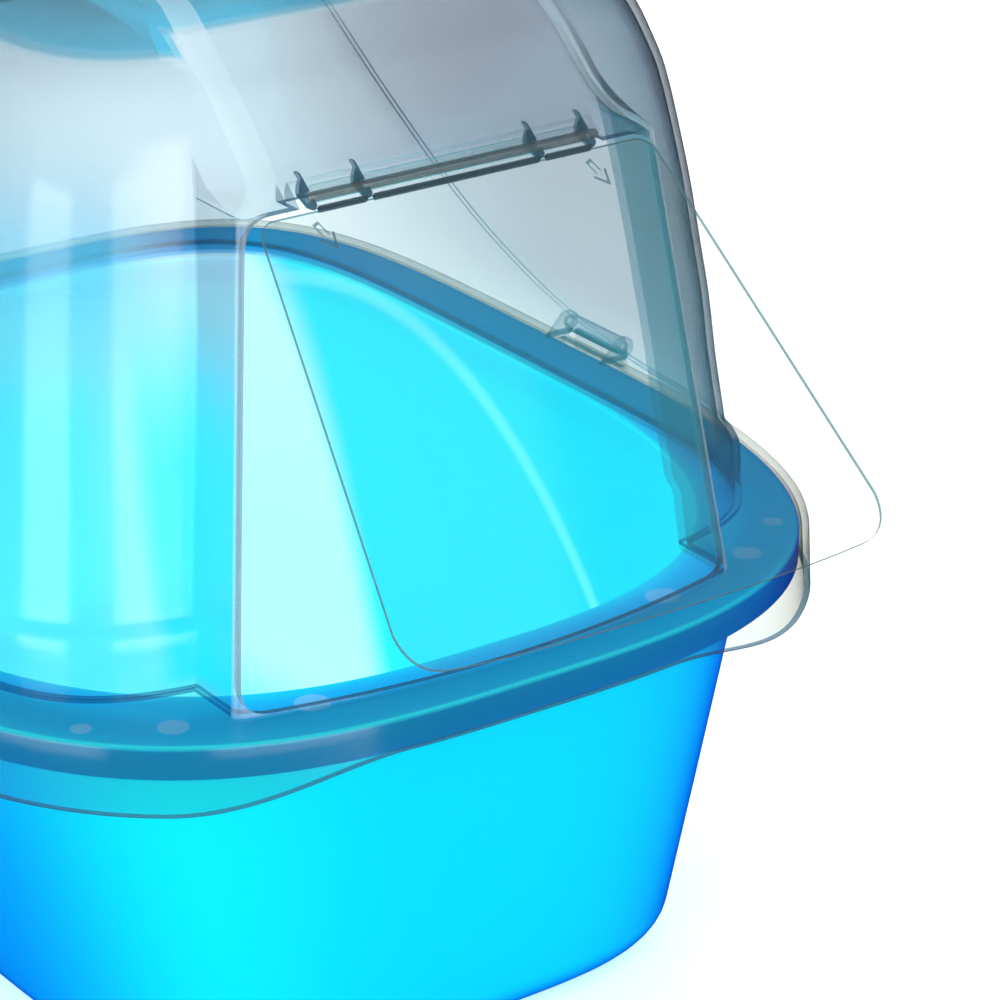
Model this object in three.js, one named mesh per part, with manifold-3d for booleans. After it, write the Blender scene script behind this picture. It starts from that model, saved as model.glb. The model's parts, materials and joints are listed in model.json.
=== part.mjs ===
// A hooded cat litter box: a deep moulded pan, a see-through hood that drops over its rim, a swinging
// door flap, a folding carry handle, a vented filter cassette in the roof and two side latches.
// Millimetres, +Z up. The floor is z = 0, the door faces -Y, and the origin is under the pan's middle.

import * as THREE from 'three';
import { mergeVertices } from 'three/addons/utils/BufferGeometryUtils.js';
import { ParametricGeometry } from 'three/addons/geometries/ParametricGeometry.js';
import Module from 'manifold-3d';

const wasm = await Module();
wasm.setup();

// ---- driving dimensions ----

const wall = 2.4; // moulded wall of the pan and the hood
const touchGap = 0.4; // air between pieces that rest on each other
const ringSteps = 60; // points round a plan outline

const panHeight = 184.3;
const panHalfWidth = 190.5; // outside of the pan's wall, just under its rim
const panFront = 232;
const panBack = 236;
const panSideDraft = 0.27; // how far the side walls lean out for each millimetre up
const panEndDraft = 0.085; // and the front and back walls
const panCorner = 17; // radius between wall and floor
const rimReach = 28.5; // how far the pan's rim stands out from its wall at the sides
const rimFrontReach = 33;
const lipInset = 1; // the rim's inner edge stands in from the wall's inside, and far more at the corners
const rimSkirt = 14; // depth of the rim's turned-down edge

const skirtClearance = 1; // between the rim's edge and the hood's skirt
const skirtDeep = 30; // how far the hood's skirt hangs at the corners
const skirtShallow = 15; // and at the middle of the front and back
const skirtFlare = 1.5;
const skirtCurveStart = 62; // where the skirt's edge starts to drop, from the middle
const skirtCurveEnd = 152;
const skirtSideStart = 90; // the same along the sides
const skirtSideEnd = 190;

const hoodSideInset = 1.9; // the hood's wall stands in from the pan's at the sides
const hoodFrontInset = 24.4; // and at the front
const hoodBackOutset = 4; // and stands out from it at the back
const hoodRise = 243.5; // from the ledge to the roof
const stepDepth = 4; // the foot of the wall stands out by this much
const stepHeight = 27; // above the ledge, at the front
const stepSweep = 0.00172; // how fast the step climbs along the sides, towards the back
const stepSweepStart = -110;
const stepHighest = 118;

const doorReach = 25.6; // how far the door surround stands forward of the hood's wall, at the ledge
const doorLean = 0.131; // how far its face leans back for each millimetre up
const doorBow = 16; // the sill bulges forward by this much in the middle
const openingHalfFoot = 116.3;
const openingHalfHead = 93.4;
const openingHeight = 186.2; // from the ledge's top to the opening's head
const sillHeight = 0.3;
const postWidth = 2.6; // face left beside the opening
const platformHalf = 80; // the raised band over the roof
const platformRise = 6;
const platformBack = 172;

const rodRadius = 2;
const rodAbove = 2.9; // the rod's axis over the opening's head
const rodInset = 2.2; // and behind the surround's face there
const rodClearance = 0.3;
const finOuter = 64.1;
const finInner = 39.6;
const finThickness = 1.6;
const troughRadius = 8.5;

const flapOverhang = 3.2; // how far the closed flap hangs past the opening's foot
const flapThickness = 2;
const flapSideGap = 3.6; // between the flap and the opening's side, at the head
const flapFootGap = 3.1; // and at the foot
const flapTopGap = 6; // from the rod's axis down to the plate
const flapCorner = 18;
const flapFootBow = 3.2; // the bottom edge hangs lower in its middle
const flapRestAngle = THREE.MathUtils.degToRad(45.8); // swung outwards
const hookWall = 2.2;

const handleHalf = 53;
const handleReach = 62;
const handleThickness = 10;
const handlePivotY = 0;
const handlePivotRise = 8; // above the raised band
const trunnionRadius = 2.5;
const trunnionClearance = 0.3;
const earThickness = 4.4;

const trayHalfWidth = 54;
const trayLength = 88;
const trayMiddle = 104; // how far behind the origin the cassette sits
const trayDepth = 14;
const trayWall = 1.8;
const trayLip = 5;
const ventSlotWidth = 3;
const ventSlotPitch = 9;
const coverThickness = 2.4;
const padThickness = 8;

const latchHalf = 19;
const latchPivotRise = 6; // above the hood's ledge
const latchBarrel = 4.2;
const latchPlate = 2.4;
const latchHook = 3.4;
const latchHookGap = 6.5; // under the pan's rim edge

// ---- sizes worked out from those ----

const hoodHalfWidth = panHalfWidth - hoodSideInset; // outside of the hood's wall, at its foot
const hoodFront = panFront - hoodFrontInset;
const hoodBack = panBack + hoodBackOutset;
const doorFoot = hoodFront + doorReach;
const flapLength = openingHeight + rodAbove + flapOverhang; // from the rod's axis to the bottom edge
const flapHalfHead = openingHalfHead - flapSideGap;
const flapHalfFoot = openingHalfFoot - flapFootGap;
const ledgeTop = panHeight + touchGap + wall;
const ledgeUnder = ledgeTop - wall;
const roofTop = ledgeTop + hoodRise;
const platformTop = roofTop + platformRise - 1;
const openingHead = ledgeTop + openingHeight;
const rodZ = openingHead + rodAbove;
const rodY = -(doorFoot - doorLean * openingHeight) + rodInset;
const handlePivotZ = platformTop + handlePivotRise;

// ---- plan outlines ----

// The front half and the back half of a plan share their width, and each has its own squareness.
const panPlan = { half: panHalfWidth, front: panFront, back: panBack, frontPower: 4, backPower: 5 };
const panFloorPower = 4.5;
const lipPlan = { ...outset(panPlan, -wall - lipInset), frontPower: 2.7 };
const rimPlan = {
  half: panHalfWidth + rimReach,
  front: panFront + rimFrontReach,
  back: panBack + rimFrontReach,
  frontPower: 3,
  backPower: 5,
};
const creasePlan = outset(rimPlan, skirtClearance + wall);
const hoodPlan = { half: hoodHalfWidth, front: hoodFront, back: hoodBack, frontPower: 5.3, backPower: 5.3 };

function outset(plan, distance) {
  return {
    ...plan,
    half: plan.half + distance,
    front: plan.front + distance,
    back: plan.back + distance,
  };
}

function signedPower(value, power) {
  return Math.sign(value) * Math.abs(value) ** power;
}

// One closed ring of points round a plan. height is a number, or a function of x and y.
function planRing(plan, height) {
  const ring = [];
  for (let step = 0; step < ringSteps; step += 1) {
    const angle = (2 * Math.PI * step) / ringSteps;
    const forward = Math.sin(angle) < 0;
    const power = 2 / (forward ? plan.frontPower : plan.backPower);
    const reach = forward ? plan.front : plan.back;
    const x = plan.half * signedPower(Math.cos(angle), power);
    const y = reach * signedPower(Math.sin(angle), power);
    const z = typeof height === 'function' ? height(x, y) : height;
    ring.push(new THREE.Vector3(x, y, z));
  }
  return ring;
}

function poleRing(z, count, y = 0) {
  return Array.from({ length: count }, () => new THREE.Vector3(0, y, z));
}

// ---- solids ----

// A skin through rings of equal count. It closes at poles, or by ending on its first ring.
function loft(rings) {
  const count = rings[0].length;
  const last = rings.length - 1;
  const onSkin = (u, v, target) => {
    const ring = rings[Math.round(v * last)];
    target.copy(ring[Math.round(u * count) % count]);
  };
  return new ParametricGeometry(onSkin, count, last);
}

function toSolid(geometry) {
  const bare = geometry.index ? geometry.clone() : geometry;
  bare.deleteAttribute('normal');
  bare.deleteAttribute('uv');
  const merged = mergeVertices(bare, 1e-3);
  const corners = merged.index.array;
  const kept = [];
  for (let first = 0; first < corners.length; first += 3) {
    const [a, b, c] = corners.slice(first, first + 3);
    if (a !== b && b !== c && c !== a) {
      kept.push(a, b, c);
    }
  }
  return new wasm.Manifold(new wasm.Mesh({
    numProp: 3,
    vertProperties: new Float32Array(merged.attributes.position.array),
    triVerts: new Uint32Array(kept),
  }));
}

function toGeometry(solid) {
  const mesh = solid.getMesh();
  const geometry = new THREE.BufferGeometry();
  geometry.setAttribute('position', new THREE.BufferAttribute(mesh.vertProperties, 3));
  geometry.setIndex(new THREE.BufferAttribute(mesh.triVerts, 1));
  geometry.computeVertexNormals();
  return geometry;
}

function joined(solids) {
  return solids.reduce((whole, solid) => whole.add(solid));
}

// A shape in x and y, raised from z = low to z = high.
function raised(shape, low, high, curveSegments = 4) {
  const settings = { depth: high - low, bevelEnabled: false, curveSegments };
  const geometry = new THREE.ExtrudeGeometry(shape, settings);
  geometry.translate(0, 0, low);
  return toSolid(geometry);
}

// A shape drawn in y and z, given thickness along x.
function acrossX(shape, low, high, curveSegments = 4) {
  const settings = { depth: high - low, bevelEnabled: false, curveSegments };
  const geometry = new THREE.ExtrudeGeometry(shape, settings);
  geometry.applyMatrix4(new THREE.Matrix4().set(0, 0, 1, low, 1, 0, 0, 0, 0, 1, 0, 0, 0, 0, 0, 1));
  return toSolid(geometry);
}

// A shape drawn in x and z, given thickness along y.
function acrossY(shape, low, high, curveSegments = 4) {
  const settings = { depth: high - low, bevelEnabled: false, curveSegments };
  const geometry = new THREE.ExtrudeGeometry(shape, settings);
  geometry.rotateX(Math.PI / 2);
  geometry.translate(0, high, 0);
  return toSolid(geometry);
}

function block(low, high) {
  const geometry = new THREE.BoxGeometry(high[0] - low[0], high[1] - low[1], high[2] - low[2]);
  geometry.translate((low[0] + high[0]) / 2, (low[1] + high[1]) / 2, (low[2] + high[2]) / 2);
  return toSolid(geometry);
}

function cylinderX(radius, low, high, y, z, sides = 24) {
  const geometry = new THREE.CylinderGeometry(radius, radius, high - low, sides);
  geometry.rotateZ(Math.PI / 2);
  geometry.translate((low + high) / 2, y, z);
  return toSolid(geometry);
}

function cylinderY(radius, low, high, x, z, sides = 16) {
  const geometry = new THREE.CylinderGeometry(radius, radius, high - low, sides);
  geometry.translate(x, (low + high) / 2, z);
  return toSolid(geometry);
}

function polygon(points) {
  return new THREE.Shape(points.map(([x, y]) => new THREE.Vector2(x, y)));
}

function roundedRectangle(halfX, lowY, highY, radius) {
  const shape = new THREE.Shape();
  shape.moveTo(-halfX + radius, lowY);
  shape.lineTo(halfX - radius, lowY);
  shape.absarc(halfX - radius, lowY + radius, radius, -Math.PI / 2, 0, false);
  shape.lineTo(halfX, highY - radius);
  shape.absarc(halfX - radius, highY - radius, radius, 0, Math.PI / 2, false);
  shape.lineTo(-halfX + radius, highY);
  shape.absarc(-halfX + radius, highY - radius, radius, Math.PI / 2, Math.PI, false);
  shape.lineTo(-halfX, lowY + radius);
  shape.absarc(-halfX + radius, lowY + radius, radius, Math.PI, Math.PI * 1.5, false);
  return shape;
}

function named(name, solid, material) {
  const mesh = new THREE.Mesh(toGeometry(solid), new THREE.MeshStandardMaterial(material));
  mesh.name = name;
  return mesh;
}

// ---- the pan ----

// The rounded foot of the wall, from the flat floor up. The walls lean out by their own drafts.
function panFootRings(inside) {
  const radius = panCorner - (inside ? wall : 0);
  const inward = inside ? wall : 0;
  const rings = [];
  for (const share of [0, 0.25, 0.5, 0.75, 1]) {
    const angle = (share * Math.PI) / 2;
    const height = inward + radius * (1 - Math.cos(angle));
    const inset = inward + radius * (1 - Math.sin(angle));
    const drop = panHeight - wall - height;
    const plan = {
      half: panPlan.half - panSideDraft * drop - inset,
      front: panPlan.front - panEndDraft * drop - inset,
      back: panPlan.back - panEndDraft * drop - inset,
      frontPower: panFloorPower,
      backPower: panPlan.backPower,
    };
    rings.push(planRing(plan, height));
  }
  return rings;
}

function basePan() {
  const rimUnder = panHeight - wall;
  const skirtFoot = panHeight - rimSkirt;
  const rings = [
    poleRing(0, ringSteps),
    ...panFootRings(false),
    planRing(panPlan, rimUnder),
    planRing(outset(rimPlan, -wall), rimUnder),
    planRing(outset(rimPlan, -wall), skirtFoot),
    planRing(rimPlan, skirtFoot),
    planRing(rimPlan, panHeight - wall / 2),
    planRing(outset(rimPlan, -wall / 2), panHeight),
    planRing(lipPlan, panHeight),
    planRing(lipPlan, rimUnder),
    planRing(outset(panPlan, -wall), rimUnder - 0.5),
    ...panFootRings(true).reverse(),
    poleRing(wall, ringSteps),
  ];
  return toSolid(loft(rings));
}

// ---- the hood ----

// How far the hood's wall has leaned in, by depth below the roof, so a taller hood keeps its crown.
const crownDepth = 55.5;
const hoodLean = [
  [243.5, 0],
  [218.5, 1.5],
  [198.5, 4],
  [178.5, 6.5],
  [153.5, 9],
  [128.5, 12.5],
  [103.5, 16],
  [80.5, 20],
  [55.5, 25],
  [40.5, 30],
  [28.5, 35],
  [19.5, 42],
  [12.5, 52],
  [7.5, 64],
  [3.5, 82],
  [1.2, 110],
].map(([depth, lean]) => [hoodRise - depth, lean]);

function leanAt(rise) {
  const next = hoodLean.findIndex(([height]) => height >= rise);
  if (next <= 0) {
    return hoodLean[0][1];
  }
  const [lowHeight, lowLean] = hoodLean[next - 1];
  const [highHeight, highLean] = hoodLean[next];
  return THREE.MathUtils.mapLinear(rise, lowHeight, highHeight, lowLean, highLean);
}

// The step between the hood's foot and its upper wall: level at the front, climbing along the sides.
function stepRise(y) {
  const along = Math.max(0, y - stepSweepStart);
  return stepHeight + Math.min(stepHighest, stepSweep * along * along);
}

// The hood's skin, moved in by the wall for its inside. The part under the step stands out.
function hoodSkin(inward, bottom) {
  const rings = [poleRing(bottom, ringSteps), planRing(outset(hoodPlan, -inward), bottom)];
  const footShares = [0, 0.5, 1];
  const wallShares = [0, 0.14, 0.28, 0.42, 0.56, 0.7, 0.84, 1];
  const topOfWall = hoodRise - crownDepth;
  const leaningRing = (riseAt, standOut) => {
    const flat = planRing(outset(hoodPlan, -inward), 0);
    return flat.map((point) => {
      const rise = riseAt(point.y);
      const inset = leanAt(rise) + standOut;
      const scale = (hoodPlan.half - inward - inset) / (hoodPlan.half - inward);
      const reach = (point.y < 0 ? hoodPlan.front : hoodPlan.back) - inward;
      const along = (reach - inset) / reach;
      return new THREE.Vector3(point.x * scale, point.y * along, ledgeTop + rise);
    });
  };
  for (const share of footShares) {
    rings.push(leaningRing((y) => share * (stepRise(y) - 2), 0));
  }
  for (const share of wallShares) {
    rings.push(leaningRing((y) => THREE.MathUtils.lerp(stepRise(y) + 2, topOfWall, share), stepDepth));
  }
  for (const [rise] of hoodLean.filter(([height]) => height > topOfWall)) {
    const lowered = inward * (rise / hoodRise);
    rings.push(leaningRing(() => rise, stepDepth).map((point) => point.setZ(point.z - lowered)));
  }
  rings.push(poleRing(roofTop - inward, ringSteps));
  return toSolid(loft(rings));
}

// The ledge that rests on the pan's rim, and the skirt that hangs over it.
function skirtEdge(x, y) {
  const acrossShare = THREE.MathUtils.smoothstep(Math.abs(x), skirtCurveStart, skirtCurveEnd);
  const alongShare = THREE.MathUtils.smoothstep(Math.abs(y), skirtSideStart, skirtSideEnd);
  return ledgeTop - THREE.MathUtils.lerp(skirtShallow, skirtDeep, acrossShare * alongShare);
}

function ledgeAndSkirt() {
  const underWall = outset(hoodPlan, -wall * 1.6);
  const flared = outset(creasePlan, skirtFlare);
  const start = planRing(underWall, ledgeUnder);
  return toSolid(loft([
    start,
    planRing(outset(creasePlan, -wall), ledgeUnder),
    planRing(outset(flared, -wall), skirtEdge),
    planRing(flared, skirtEdge),
    planRing(outset(creasePlan, 0.3), ledgeTop - wall),
    planRing(outset(creasePlan, -0.6), ledgeTop - 0.6),
    planRing(outset(creasePlan, -wall), ledgeTop),
    planRing(underWall, ledgeTop),
    start,
  ]));
}

// The door surround in section: height above the ledge, half-width of its face, how far it widens
// behind the face, the depth that takes, and its reach forward.
function surroundSections(lowest) {
  const faceReach = (rise) => doorFoot - doorLean * rise;
  const faceHalf = (rise) => {
    const share = rise / openingHeight;
    return THREE.MathUtils.lerp(openingHalfFoot, openingHalfHead, share) + postWidth;
  };
  const face = [lowest, 0, 20, 60, 100, 140, openingHeight - 12, openingHeight];
  const sections = face.map((rise) => (
    { rise, half: faceHalf(rise), flare: 0, run: 5, reach: faceReach(rise) }
  ));
  const shoulder = [
    [3, 12.5, 3, 10, 3],
    [8, 4.5, 10.5, 18, 8.5],
    [13, 2, 12, 18, 16],
    [24, 0.8, 11.5, 13, 29],
    [35, 0.2, 10.5, 9, 41],
    [42, -0.2, 10.3, 8, 51],
    [50, -0.5, 10, 8, 61],
    [56, -1, 8.5, 8, 69],
    [60, -2, 5, 8, 77],
    [62.3, -3.5, 2.5, 8, 88],
  ];
  const headReach = faceReach(openingHeight);
  const stretch = (platformTop - openingHead) / shoulder.at(-1)[0];
  for (const [above, wider, flare, run, back] of shoulder) {
    sections.push({
      rise: openingHeight + above * stretch,
      half: platformHalf + wider,
      flare,
      run,
      reach: headReach - back,
    });
  }
  return sections;
}

// A plan with a bowed front and bevelled front corners. It runs from the back right, round by the front.
function surroundRing(section, inward) {
  const half = section.half - inward;
  const wide = half + section.flare;
  const reach = section.reach - inward;
  const back = platformBack - inward;
  const bow = doorBow * Math.max(0, 1 - Math.max(0, section.rise) / 60) ** 2;
  const lowered = section.rise > openingHeight ? inward * (section.rise / hoodRise) : 0;
  const ridge = new THREE.Vector2(half, -reach);
  const foot = new THREE.Vector2(wide, section.run - reach);
  const onFace = new THREE.Vector2(half - 5, -reach);
  const corner = [
    onFace,
    onFace.clone().lerp(ridge, 0.8),
    ridge.clone().lerp(foot, 0.14),
    ridge.clone().lerp(foot, 0.5),
    foot,
  ];
  const mirrored = corner.map((point) => new THREE.Vector2(-point.x, point.y));
  const front = [];
  for (let step = 1; step < 8; step += 1) {
    front.push(new THREE.Vector2(THREE.MathUtils.lerp(5 - half, half - 5, step / 8), -reach));
  }
  const points = [
    new THREE.Vector2(wide, back),
    new THREE.Vector2(-wide, back),
    ...mirrored.reverse(),
    ...front,
    ...corner,
  ];
  return points.map((point) => {
    const forward = point.y < section.run - reach ? bow * Math.max(0, 1 - (point.x / half) ** 2) : 0;
    return new THREE.Vector3(point.x, point.y - forward, ledgeTop + section.rise - lowered);
  });
}

function surroundSkin(inward, bottom) {
  const rings = surroundSections(bottom - ledgeTop).map((section) => surroundRing(section, inward));
  const count = rings[0].length;
  const first = rings[0][0].z;
  const last = rings.at(-1)[0].z;
  return toSolid(loft([poleRing(first, count), ...rings, poleRing(last + 0.2, count)]));
}

function doorOpening() {
  const corner = 11;
  const foot = ledgeTop + sillHeight;
  const head = openingHead;
  const halfAt = (z) => THREE.MathUtils.lerp(
    openingHalfFoot,
    openingHalfHead,
    (z - ledgeTop) / openingHeight,
  );
  const shape = new THREE.Shape();
  shape.moveTo(-halfAt(foot) + corner, foot);
  shape.lineTo(halfAt(foot) - corner, foot);
  shape.quadraticCurveTo(halfAt(foot), foot, halfAt(foot + corner), foot + corner);
  shape.lineTo(halfAt(head - corner), head - corner);
  shape.quadraticCurveTo(halfAt(head), head, halfAt(head) - corner, head);
  shape.lineTo(-halfAt(head) + corner, head);
  shape.quadraticCurveTo(-halfAt(head), head, -halfAt(head - corner), head - corner);
  shape.lineTo(-halfAt(foot + corner), foot + corner);
  shape.quadraticCurveTo(-halfAt(foot), foot, -halfAt(foot) + corner, foot);
  return acrossY(shape, -doorFoot - doorBow - wall * 4, rodY + troughRadius * 2, 5);
}

// A thin gusset on the sloping face, with a bore for the rod.
function hingeFin(x) {
  const shape = polygon([
    [rodY + 10, rodZ + 1],
    [rodY + 9.6, rodZ + 7.8],
    [rodY + 7, rodZ + 7.4],
    [rodY - 4.6, rodZ - 1.6],
    [rodY - 3.6, rodZ - 4],
    [rodY + 1, rodZ - 4.4],
    [rodY + 8, rodZ - 1.5],
  ]);
  return acrossX(shape, x - finThickness / 2, x + finThickness / 2);
}

function handleEar(side) {
  const inner = handleHalf + handleThickness / 2 + trunnionClearance * 2;
  const foot = platformTop - 1;
  const shape = polygon([
    [handlePivotY - 13, foot],
    [handlePivotY + 13, foot],
    [handlePivotY + 7, handlePivotZ + 3],
    [handlePivotY + 3.5, handlePivotZ + 6],
    [handlePivotY - 3.5, handlePivotZ + 6],
    [handlePivotY - 7, handlePivotZ + 3],
  ]);
  const low = side > 0 ? inner : -inner - earThickness;
  return acrossX(shape, low, low + earThickness);
}

const latchPivotX = creasePlan.half + 0.8;
const latchPivotZ = ledgeTop + latchPivotRise;

function latchEar(side, end) {
  const low = end > 0 ? latchHalf + 0.8 : -latchHalf - 3.8;
  const outline = polygon([
    [latchPivotX - 14, ledgeTop - 1],
    [latchPivotX - 1.2, ledgeTop - 1],
    [latchPivotX + 4.6, latchPivotZ - 2],
    [latchPivotX + 4.6, latchPivotZ + 2.6],
    [latchPivotX + 1.6, latchPivotZ + 5],
    [latchPivotX - 3, latchPivotZ + 4.6],
  ].map(([x, z]) => [side * x, z]));
  return acrossY(outline, low, low + 3);
}

function hoodShell() {
  const outside = hoodSkin(0, ledgeUnder + 0.2).add(surroundSkin(0, ledgeUnder + 0.2));
  const inside = hoodSkin(wall, ledgeUnder - 20).add(surroundSkin(wall, ledgeUnder - 20));
  const drum = cylinderX(troughRadius + wall, -finOuter - 8, finOuter + 8, rodY, rodZ, 28);
  const trough = drum.intersect(outside);
  let hood = joined([outside, ledgeAndSkirt()]).subtract(inside).add(trough);
  hood = hood.subtract(cylinderX(troughRadius, -finOuter - 5.6, finOuter + 5.6, rodY, rodZ, 28));
  hood = hood.subtract(doorOpening());
  for (const x of [-finOuter, -finInner, finInner, finOuter]) {
    hood = hood.add(hingeFin(x));
  }
  hood = hood.subtract(cylinderX(rodRadius + rodClearance, -finOuter - 3, finOuter + 3, rodY, rodZ, 16));
  for (const side of [-1, 1]) {
    hood = hood.add(handleEar(side));
    const pocket = latchHalf + 5;
    const near = creasePlan.half - 8;
    const far = creasePlan.half + 8;
    const low = side > 0 ? near : -far;
    hood = hood.subtract(block([low, -pocket, 0], [low + far - near, pocket, ledgeUnder]));
    hood = hood.add(latchEar(side, -1)).add(latchEar(side, 1));
    const bore = cylinderY(2.2 + 0.3, -latchHalf - 5, latchHalf + 5, side * latchPivotX, latchPivotZ);
    hood = hood.subtract(bore);
  }
  const earFar = handleHalf + handleThickness / 2 + earThickness + 2;
  const trunnionBore = trunnionRadius + trunnionClearance;
  hood = hood.subtract(cylinderX(trunnionBore, -earFar, earFar, handlePivotY, handlePivotZ, 16));
  return hood.subtract(raised(trayOutline(touchGap), roofTop - 30, platformTop + 1));
}

// ---- the hinge rod and the flap ----

function hingeRod() {
  const low = -finOuter - finThickness / 2;
  const high = finOuter + 4.4;
  const geometry = new THREE.CapsuleGeometry(rodRadius, high - low - 2 * rodRadius, 4, 14);
  geometry.rotateZ(Math.PI / 2);
  geometry.translate((low + high) / 2, rodY, rodZ);
  return toSolid(geometry);
}

// Drawn hanging straight down from the rod's axis, which is its own origin.
function flapPlate() {
  const foot = -flapLength;
  const head = -flapTopGap;
  const side = (z) => THREE.MathUtils.mapLinear(z, head, foot, flapHalfHead, flapHalfFoot);
  const corner = foot + flapFootBow;
  const shape = new THREE.Shape();
  shape.moveTo(-side(foot) + flapCorner, corner);
  shape.quadraticCurveTo(0, foot - flapFootBow, side(foot) - flapCorner, corner);
  shape.quadraticCurveTo(side(foot) - 3, corner + 2, side(foot + flapCorner), corner + flapCorner);
  shape.lineTo(side(head - 8), head - 8);
  shape.quadraticCurveTo(side(head), head, side(head) - 8, head);
  shape.lineTo(-side(head) + 8, head);
  shape.quadraticCurveTo(-side(head), head, -side(head - 8), head - 8);
  shape.lineTo(-side(foot + flapCorner), corner + flapCorner);
  shape.quadraticCurveTo(-side(foot) + 3, corner + 2, -side(foot) + flapCorner, corner);
  return acrossY(shape, -flapThickness / 2, flapThickness / 2, 6);
}

// A ring round the rod, open at the front so that it snaps on.
function flapHook(low, high) {
  const inner = rodRadius + rodClearance;
  const outer = inner + hookWall;
  const shape = new THREE.Shape();
  const from = THREE.MathUtils.degToRad(-150);
  const to = THREE.MathUtils.degToRad(130);
  shape.absarc(0, 0, outer, from, to, false);
  shape.absarc(0, 0, inner, to, from, true);
  shape.closePath();
  const ring = acrossX(shape, low, high, 14);
  const neck = block([low, -flapThickness / 2, -flapTopGap - 1], [high, flapThickness / 2, -inner - 0.6]);
  return ring.add(neck);
}

function doorFlap() {
  const beside = finThickness / 2 + 0.8;
  const outer = [finInner + beside, finOuter - beside];
  const spans = [
    [-outer[1], -outer[0]],
    [-finInner + beside, finInner - beside],
    outer,
  ];
  return joined([flapPlate(), ...spans.map(([low, high]) => flapHook(low, high))]);
}

// ---- the carry handle ----

// Folded forwards, flat over the roof.
function carryHandle() {
  const bend = 14;
  const z = handlePivotZ;
  const far = handlePivotY - handleReach;
  const corner = (x, y) => new THREE.Vector3(x, y, z);
  const path = new THREE.CurvePath();
  path.add(new THREE.LineCurve3(corner(-handleHalf, handlePivotY), corner(-handleHalf, far + bend)));
  path.add(new THREE.QuadraticBezierCurve3(
    corner(-handleHalf, far + bend),
    corner(-handleHalf, far),
    corner(-handleHalf + bend, far),
  ));
  path.add(new THREE.LineCurve3(corner(-handleHalf + bend, far), corner(handleHalf - bend, far)));
  path.add(new THREE.QuadraticBezierCurve3(
    corner(handleHalf - bend, far),
    corner(handleHalf, far),
    corner(handleHalf, far + bend),
  ));
  path.add(new THREE.LineCurve3(corner(handleHalf, far + bend), corner(handleHalf, handlePivotY)));
  const section = new THREE.Shape();
  section.absellipse(0, 0, handleThickness / 2, handleThickness / 2, 0, Math.PI * 2, false, 0);
  const bar = toSolid(new THREE.ExtrudeGeometry(section, {
    extrudePath: path,
    steps: 36,
    bevelEnabled: false,
    curveSegments: 6,
  }));
  const pieces = [bar];
  for (const side of [-1, 1]) {
    const inner = side * (handleHalf - handleThickness / 2 + 0.4);
    const face = side * (handleHalf + handleThickness / 2);
    const end = side * (handleHalf + handleThickness / 2 + earThickness);
    const boss = [Math.min(inner, face), Math.max(inner, face)];
    const pin = [Math.min(inner, end), Math.max(inner, end)];
    pieces.push(cylinderX(handleThickness / 2 + 0.4, ...boss, handlePivotY, z, 20));
    pieces.push(cylinderX(trunnionRadius, ...pin, handlePivotY, z, 16));
  }
  return joined(pieces);
}

// ---- the filter cassette ----

function trayOutline(extra) {
  const low = trayMiddle - trayLength / 2;
  const high = trayMiddle + trayLength / 2;
  return roundedRectangle(trayHalfWidth + extra, low - extra, high + extra, 6 + extra);
}

function slotHole(x, low, high) {
  const half = ventSlotWidth / 2;
  const hole = new THREE.Path();
  hole.moveTo(x - half, low + half);
  hole.absarc(x, low + half, half, Math.PI, 0, false);
  hole.absarc(x, high - half, half, 0, Math.PI, false);
  return hole;
}

// A plate with one row of slots across it.
function slottedPlate(outline, halfWidth, low, high, bottom, top) {
  const count = 2 * Math.floor((halfWidth - 8) / ventSlotPitch) + 1;
  for (let slot = 0; slot < count; slot += 1) {
    const x = (slot - (count - 1) / 2) * ventSlotPitch;
    outline.holes.push(slotHole(x, low, high));
  }
  return raised(outline, bottom, top, 3);
}

const trayTop = platformTop + touchGap + trayWall;
const trayFloor = trayTop - trayDepth;
const coverHingeY = trayMiddle + trayLength / 2 + 2;
const coverHingeZ = trayTop + touchGap + coverThickness;

function filterTray() {
  const low = trayMiddle - trayLength / 2;
  const high = trayMiddle + trayLength / 2;
  const rim = raised(trayOutline(trayLip), trayTop - trayWall, trayTop);
  const body = raised(trayOutline(0), trayFloor, trayTop - trayWall / 2);
  const hollow = raised(trayOutline(-trayWall), trayFloor + trayWall, trayTop + 1);
  let tray = rim.add(body).subtract(hollow);
  const slotFloor = new THREE.Shape(trayOutline(0).getPoints(4));
  const floorSlots = slottedPlate(slotFloor, trayHalfWidth, low + 10, high - 10,
    trayFloor - 1, trayFloor + trayWall + 0.5);
  const slab = raised(trayOutline(0), trayFloor - 1, trayFloor + trayWall + 0.5);
  tray = tray.subtract(slab.subtract(floorSlots));
  for (const side of [-1, 1]) {
    const x = side * (trayHalfWidth - 8);
    const ear = polygon([
      [coverHingeY - 2.6, trayTop - 0.5],
      [coverHingeY + 2.9, trayTop - 0.5],
      [coverHingeY + 2.9, coverHingeZ + 2],
      [coverHingeY + 1, coverHingeZ + 3],
      [coverHingeY - 1.6, coverHingeZ + 3],
      [coverHingeY - 2.6, coverHingeZ + 2],
    ]);
    tray = tray.add(acrossX(ear, x - 1.5, x + 1.5));
  }
  return tray.subtract(cylinderX(1.6, -trayHalfWidth, trayHalfWidth, coverHingeY, coverHingeZ, 12));
}

function filterPad() {
  const bottom = trayFloor + trayWall + touchGap;
  return raised(trayOutline(-trayWall - 0.8), bottom, bottom + padThickness);
}

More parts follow.
